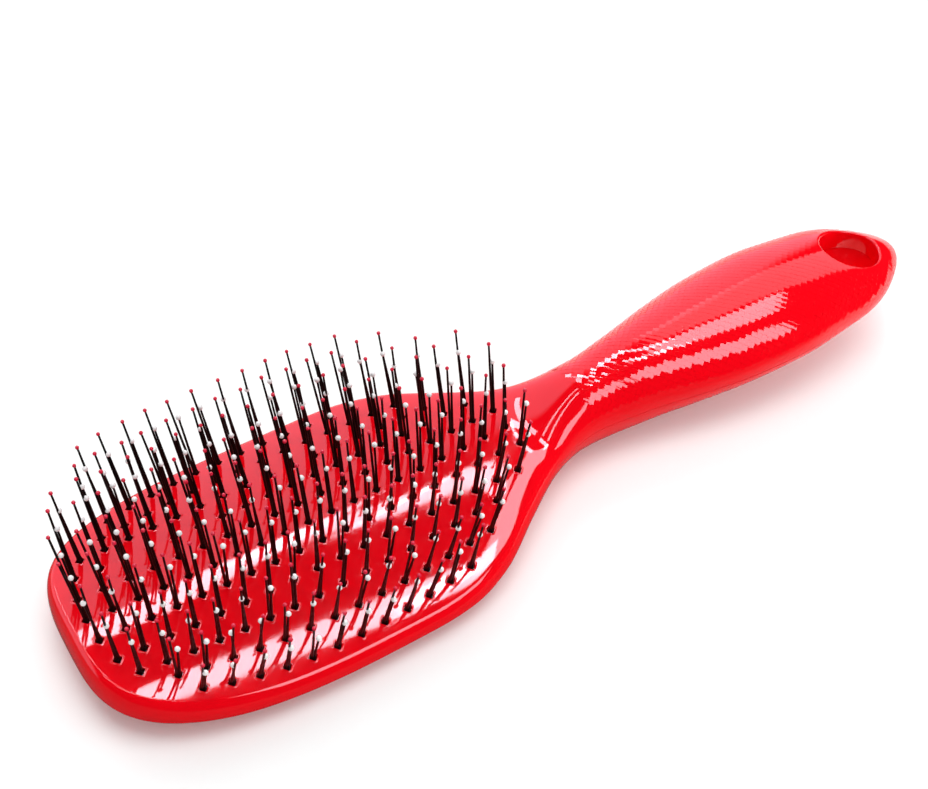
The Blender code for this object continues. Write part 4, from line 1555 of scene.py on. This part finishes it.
@dataclass
class Grip:
    """The fine crosshatch on the handle: low diamond pads between two families of grooves."""

    form: BrushForm
    outline: Outline
    pitch: float = 1.45 * MM
    pad_length: float = 1.42 * MM
    pad_width: float = 1.33 * MM
    pad_rise: float = 0.03 * MM
    pad_skirt: float = 0.06 * MM
    pad_flare: float = 0.01
    pad_points: int = 3
    across_slope: float = 0.05
    start: float = 133.0 * MM
    end_margin: float = 7.5 * MM
    hole_margin: float = 2.6 * MM
    floor_margin: float = 0.5 * MM
    edge_margin_share: float = 0.25
    front_share: float = 0.95
    back_share: float = 0.9
    samples: int = 241
    sampled_share: float = 0.999

    @cached_property
    def tree(self) -> NodeForm:
        """The tree that stands a domed square pad with a sloping skirt on each point.

        Returns:
            The tree, made once.
        """
        form = NodeForm("grip_pads")
        pad = form.out("GeometryNodeMeshGrid", {
            "Size X": form.size("Pad length"), "Size Y": form.size("Pad width"),
            "Vertices X": self.pad_points, "Vertices Y": self.pad_points})
        place = form.out("GeometryNodeInputPosition", {})
        square = form.out("ShaderNodeVectorMath", {0: place, 1: place}, operation="MULTIPLY")
        bend = form.vector(Y=form.size("Across bend"))
        drop = form.out("ShaderNodeVectorMath", {0: square, 1: bend}, "Value",
                        operation="DOT_PRODUCT")
        height = form.out("ShaderNodeMath", {0: form.size("Pad rise"), 1: drop},
                          operation="SUBTRACT")
        lift = form.vector(Z=height)
        dome = form.out("GeometryNodeSetPosition", {"Geometry": pad, "Offset": lift})
        flare = form.size("Flare")
        outwards = form.out("ShaderNodeVectorMath", {0: place, 1: form.vector(X=flare, Y=flare)},
                            operation="MULTIPLY")
        down = form.vector(Z=form.size("Skirt"))
        offset = form.out("ShaderNodeVectorMath", {0: outwards, 1: down}, operation="SUBTRACT")
        rim = form.equal(form.out("GeometryNodeInputMeshEdgeNeighbors", {}), 1)
        skirt = form.node("GeometryNodeExtrudeMesh", {
            "Mesh": dome, "Selection": rim, "Offset": offset, "Offset Scale": 1.0}, mode="EDGES")
        side = skirt.outputs["Side"]
        smooth = form.out("GeometryNodeSetShadeSmooth", {"Geometry": skirt.outputs["Mesh"]})
        crisp = form.out("GeometryNodeSetShadeSmooth", {
            "Geometry": smooth, "Selection": side, "Shade Smooth": False})
        parted = form.node("GeometryNodeSeparateGeometry", {
            "Geometry": crisp, "Selection": side}, domain="FACE")
        form.finish(*(form.set_on(parted.outputs[key]) for key in ("Selection", "Inverted")))
        return form

    def across(self, surface: Surface, station: float, shifted: bool) -> Array:
        """Space pads evenly over the curve across the handle.

        Args:
            surface: One half's surface.
            station: Where the curve is.
            shifted: True to set the pads half a step over.

        Returns:
            Their plan positions.
        """
        half = float(self.form.half_width(station))
        y = half * np.sin(np.linspace(-1, 1, self.samples) * math.pi / 2) * self.sampled_share
        z, _ = surface.sample(np.column_stack((np.full(len(y), station), y)))
        travel = np.concatenate(([0.0], np.cumsum(np.hypot(np.diff(y), np.diff(z)))))
        reach = travel[-1] / 2
        step = self.pitch / math.sqrt(2)
        count = int(reach / (2 * step)) + 1
        marks = np.arange(-count, count + 1) * 2 * step + (step if shifted else 0.0)
        ys = np.interp(marks[np.abs(marks) < reach], travel - reach, y)
        limit = self.front_share if surface.side is Side.FRONT else self.back_share
        ys = ys[np.abs(ys) < limit * half]
        return np.column_stack((np.full(len(ys), station), ys))

    def places(self, side: Side) -> tuple[list[Vector], list[Quaternion]]:
        """Find where the pads of one half stand.

        Args:
            side: The half.

        Returns:
            Points on the surface, and turns with Z square to it and X along one family of grooves.
        """
        surface = Surface(self.form, self.outline, side)
        end = self.form.length - self.end_margin
        stations = np.arange(self.start, end, self.pitch / math.sqrt(2))
        plan = np.concatenate([self.across(surface, station, number % 2 == 1)
                               for number, station in enumerate(stations)])
        hole = np.array((self.form.hang_length, self.form.hang_width)) / 2 + self.hole_margin
        place = (plan - (self.form.hang_station, 0.0)) / hole
        plan = plan[np.linalg.norm(place, axis=1) > 1]
        inset, _ = self.outline.reach(plan)
        plan = plan[inset > self.edge_margin_share * self.pitch]
        z, normals = surface.sample(plan)
        places = self.form.world(plan, z)
        clear = places[:, 2] > self.floor_margin
        turns = []
        for row in normals[clear]:
            normal = Vector(row)
            along = along_brush(normal)
            ridge = (along - normal.cross(along) * side.value).normalized()
            turns.append(Matrix((ridge, normal.cross(ridge), normal)).transposed().to_quaternion())
        return [Vector(point) for point in places[clear]], turns

    def build(self, finish: Material) -> None:
        """Make and dress the pads of both halves.

        Args:
            finish: Their material.
        """
        for name, side in (("grip_pads_front", Side.FRONT), ("grip_pads_back", Side.BACK)):
            mesh = self.tree.grow(name, *self.places(side), {
                "Pad length": self.pad_length, "Pad width": self.pad_width,
                "Pad rise": self.pad_rise, "Skirt": self.pad_skirt, "Flare": self.pad_flare,
                "Across bend": self.across_slope / self.pad_width, "Finish": finish})
            make_piece(name, mesh, finish, Slot.RED_PLASTIC)


@dataclass(frozen=True)
class Softbox:
    """A rectangular studio light, placed by where it stands in the sky over the brush.

    A place in the sky is its direction flattened from below: (0, 0) is overhead and a distance
    of 1 is the horizon, with +X to the right and +Y up.
    """

    name: str
    start: Pair
    end: Pair
    width: float
    radiance: float
    mirrored: bool = True
    distance: float = 8.0
    watts_per_area: float = 4.0

    @staticmethod
    def direction(place: Pair) -> Vector:
        """Direction of a place in the sky.

        Args:
            place: The place.

        Returns:
            The unit vector towards it.
        """
        x, y = place
        square = x * x + y * y
        return Vector((2 * x, 2 * y, 1 - square)) / (1 + square)

    def build(self, tint: Triple) -> None:
        """Make the light, seen either by mirrored rays only or by all others.

        Args:
            tint: Colour of the light where it is mirrored.
        """
        start, end = self.direction(self.start), self.direction(self.end)
        middle = (start + end).normalized()
        along = (end - start).normalized()
        across = middle.cross(along).normalized()
        length = (end - start).length * self.distance
        width = self.width * self.distance
        data = bpy.data.lights.new(self.name, "AREA")
        data.shape = "RECTANGLE"
        data.size, data.size_y = length, width
        data.energy = self.radiance * self.watts_per_area * length * width
        if self.mirrored:
            data.color = tint
        lamp = add_object(self.name, data)
        turned = Matrix((along, across, middle)).transposed().to_4x4()
        turned.translation = middle * self.distance
        lamp.matrix_world = turned
        lamp.visible_camera = False
        lamp.visible_glossy = self.mirrored
        lamp.visible_diffuse = not self.mirrored


@dataclass
class Studio:
    """The white studio: camera, floor, softboxes and the surroundings that the gloss mirrors."""

    target: Triple = (-0.00844, 0.01516, 0.0140)
    elevation: float = 47.973
    azimuth: float = -33.719
    distance: float = 0.36611
    roll: float = 2.26
    lens: float = 57.07
    sensor: float = 36.0
    near_clip: float = 0.01
    floor_size: float = 12.0
    strip_tint: Triple = (1.0, 0.95, 1.08)
    backdrop_tint: Triple = (1.0, 0.86, 1.08)
    backdrop_side: Triple = (-0.3, 0.95, 0.0)
    backdrop_span: Pair = (0.36, 0.48)
    backdrop_levels: Pair = (0.02, 1.5)
    ambient: float = 0.70
    # The floor as the gloss mirrors it has painted shade: dark towards the camera, white beyond
    # this side's span.
    painted_floor_lit_side: Triple = (0.6, 0.8, 0.0)
    painted_floor_span: Pair = (-0.03, 0.06)
    floor_tone: float = 0.82
    # Level of the painted shade on the mirrored floor's near side.
    painted_floor_shade: float = 0.14
    floor_shown: float = 0.97
    floor_red: float = 0.965
    floor_white: float = 0.04
    softboxes: tuple[Softbox, ...] = (
        Softbox("key_light", (-0.06, 0.16), (0.20, -0.14), 0.55, 2.7, mirrored=False),
        Softbox("rear_light", (-0.15, 0.50), (0.40, 0.45), 0.60, 1.8, mirrored=False),
        Softbox("fill_light", (0.36, -0.62), (0.74, -0.28), 0.60, 2.4, mirrored=False,
                distance=0.45),
        Softbox("far_strip_left", (0.088, 0.245), (0.126, 0.300), 0.08, 15.0),
        Softbox("far_strip_middle", (0.124, 0.295), (0.142, 0.225), 0.022, 15.0),
        Softbox("far_strip", (0.140, 0.235), (0.178, 0.085), 0.038, 15.0),
        Softbox("near_strip_left", (0.087, 0.072), (0.140, -0.038), 0.052, 14.0),
        Softbox("near_strip", (0.130, -0.030), (0.172, -0.030), 0.090, 14.0),
        Softbox("edge_strip", (0.035, 0.50), (0.059, 0.12), 0.075, 10.0),
        Softbox("neck_strip_low", (-0.16, -0.022), (0.10, -0.022), 0.05, 8.0),
        Softbox("neck_strip_high", (-0.18, 0.062), (0.06, 0.062), 0.04, 8.0),
        Softbox("handle_strip_high", (0.160, 0.035), (0.275, 0.010), 0.32, 6.0),
        Softbox("handle_strip_low", (0.06, -0.345), (0.28, -0.30), 0.36, 5.5),
        Softbox("handle_glow", (0.188, 0.260), (0.62, 0.150), 0.46, 1.35),
    )

    def camera(self) -> None:
        """Stand the camera where the photograph was taken from."""
        elevation, azimuth = math.radians(self.elevation), math.radians(self.azimuth)
        back = Vector((math.sin(azimuth) * math.cos(elevation),
                       -math.cos(azimuth) * math.cos(elevation), math.sin(elevation)))
        right = Vector((math.cos(azimuth), math.sin(azimuth), 0.0))
        view = Matrix((right, back.cross(right), back)).transposed().to_4x4()
        view.translation = Vector(self.target) + back * self.distance
        data = bpy.data.cameras.new("camera")
        data.sensor_fit = "HORIZONTAL"
        data.sensor_width = self.sensor
        data.lens = self.lens
        data.clip_start = self.near_clip
        camera = add_object("camera", data)
        camera.matrix_world = view @ Matrix.Rotation(math.radians(self.roll), 4, "Z")
        bpy.context.scene.camera = camera

    def floor(self) -> None:
        """Lay the white floor, which keeps the brush's shadow and to mirrored rays carries painted
        shade on its near side.
        """
        half = self.floor_size / 2
        mesh = bpy.data.meshes.new("floor")
        corners = [(x * half, y * half, 0.0) for x, y in ((-1, -1), (1, -1), (1, 1), (-1, 1))]
        mesh.from_pydata(corners, [], [(0, 1, 2, 3)])
        finish = bpy.data.materials.new("white_floor")
        nodes = Nodes.empty(finish)

        def paper(color: tuple[float, ...] | Socket) -> Socket:
            """Matt paper of a colour."""
            return nodes.out("ShaderNodeBsdfDiffuse", {"Color": color})

        shown, tone = self.floor_shown, self.floor_tone
        white = nodes.out("ShaderNodeEmission", {"Strength": self.floor_white})
        camera = nodes.out("ShaderNodeAddShader", {
            0: paper((shown * self.floor_red, shown, shown, 1.0)), 1: white})
        # Painted shade and painted light: mirrored rays see the floor dark towards the camera and
        # white beyond, not its even tone.
        glossy = paper(nodes.ramp(nodes.out("ShaderNodeTexCoord", {}, "Object"),
                                  self.painted_floor_lit_side, self.painted_floor_span, (self.painted_floor_shade, 1.0)))
        nodes.node("ShaderNodeOutputMaterial", {
            "Surface": nodes.choose(camera, glossy, paper((tone, tone, tone, 1.0)))})
        mesh.materials.append(finish)
        floor = add_object("floor", mesh)

    def surroundings(self) -> None:
        """Make the world: white to the camera, a lit backdrop beyond the brush to mirrored rays."""
        world = bpy.data.worlds.new("studio")
        bpy.context.scene.world = world
        nodes = Nodes.empty(world)
        level = nodes.ramp(nodes.out("ShaderNodeTexCoord", {}, "Generated"),
                           self.backdrop_side, self.backdrop_span, self.backdrop_levels)
        backdrop = nodes.out("ShaderNodeBackground", {
            "Color": (*self.backdrop_tint, 1.0), "Strength": level})
        white, around = (nodes.out("ShaderNodeBackground", {"Strength": strength})
                         for strength in (1.0, self.ambient))
        nodes.node("ShaderNodeOutputWorld", {"Surface": nodes.choose(white, backdrop, around)})

    def build(self) -> None:
        """Set up the whole studio."""
        self.camera()
        self.floor()
        self.surroundings()
        for softbox in self.softboxes:
            softbox.build(self.strip_tint)
        bpy.context.scene.view_settings.view_transform = "Standard"
        log.info("studio: %d softboxes", len(self.softboxes))


def main() -> None:
    """Build the brush piece by piece and set the studio round it."""
    logging.basicConfig(level=logging.INFO, format="%(name)s: %(message)s")
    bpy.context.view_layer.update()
    form = BrushForm()
    outline = Outline(form)
    red, nylon = RED_GLOSS.build(), BLACK_NYLON.build()
    layout = BristleLayout(form, Surface(form, outline, Side.FRONT))
    front = FrontMoulding(form, outline, Side.FRONT, layout=layout)
    back = MouldedHalf(form, outline, Side.BACK, face_wall=2.2 * MM)
    halves = (("front_moulding", front, "front_shell"), ("back_moulding", back, "back_shell"))
    for name, half, node in halves:
        make_piece(name, half.build(name), red, Slot.RED_PLASTIC, node)
    Bristles(layout).build(nylon, RED_LACQUER.build(), WHITE_LACQUER.build())
    Grip(form, outline).build(red)
    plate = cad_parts["backing_plate"]
    plate.material_slots[0].material = GREY_PLASTIC.build()
    log.info("backing_plate: dressed in place")
    Studio().build()


if __name__ == "__main__":
    main()
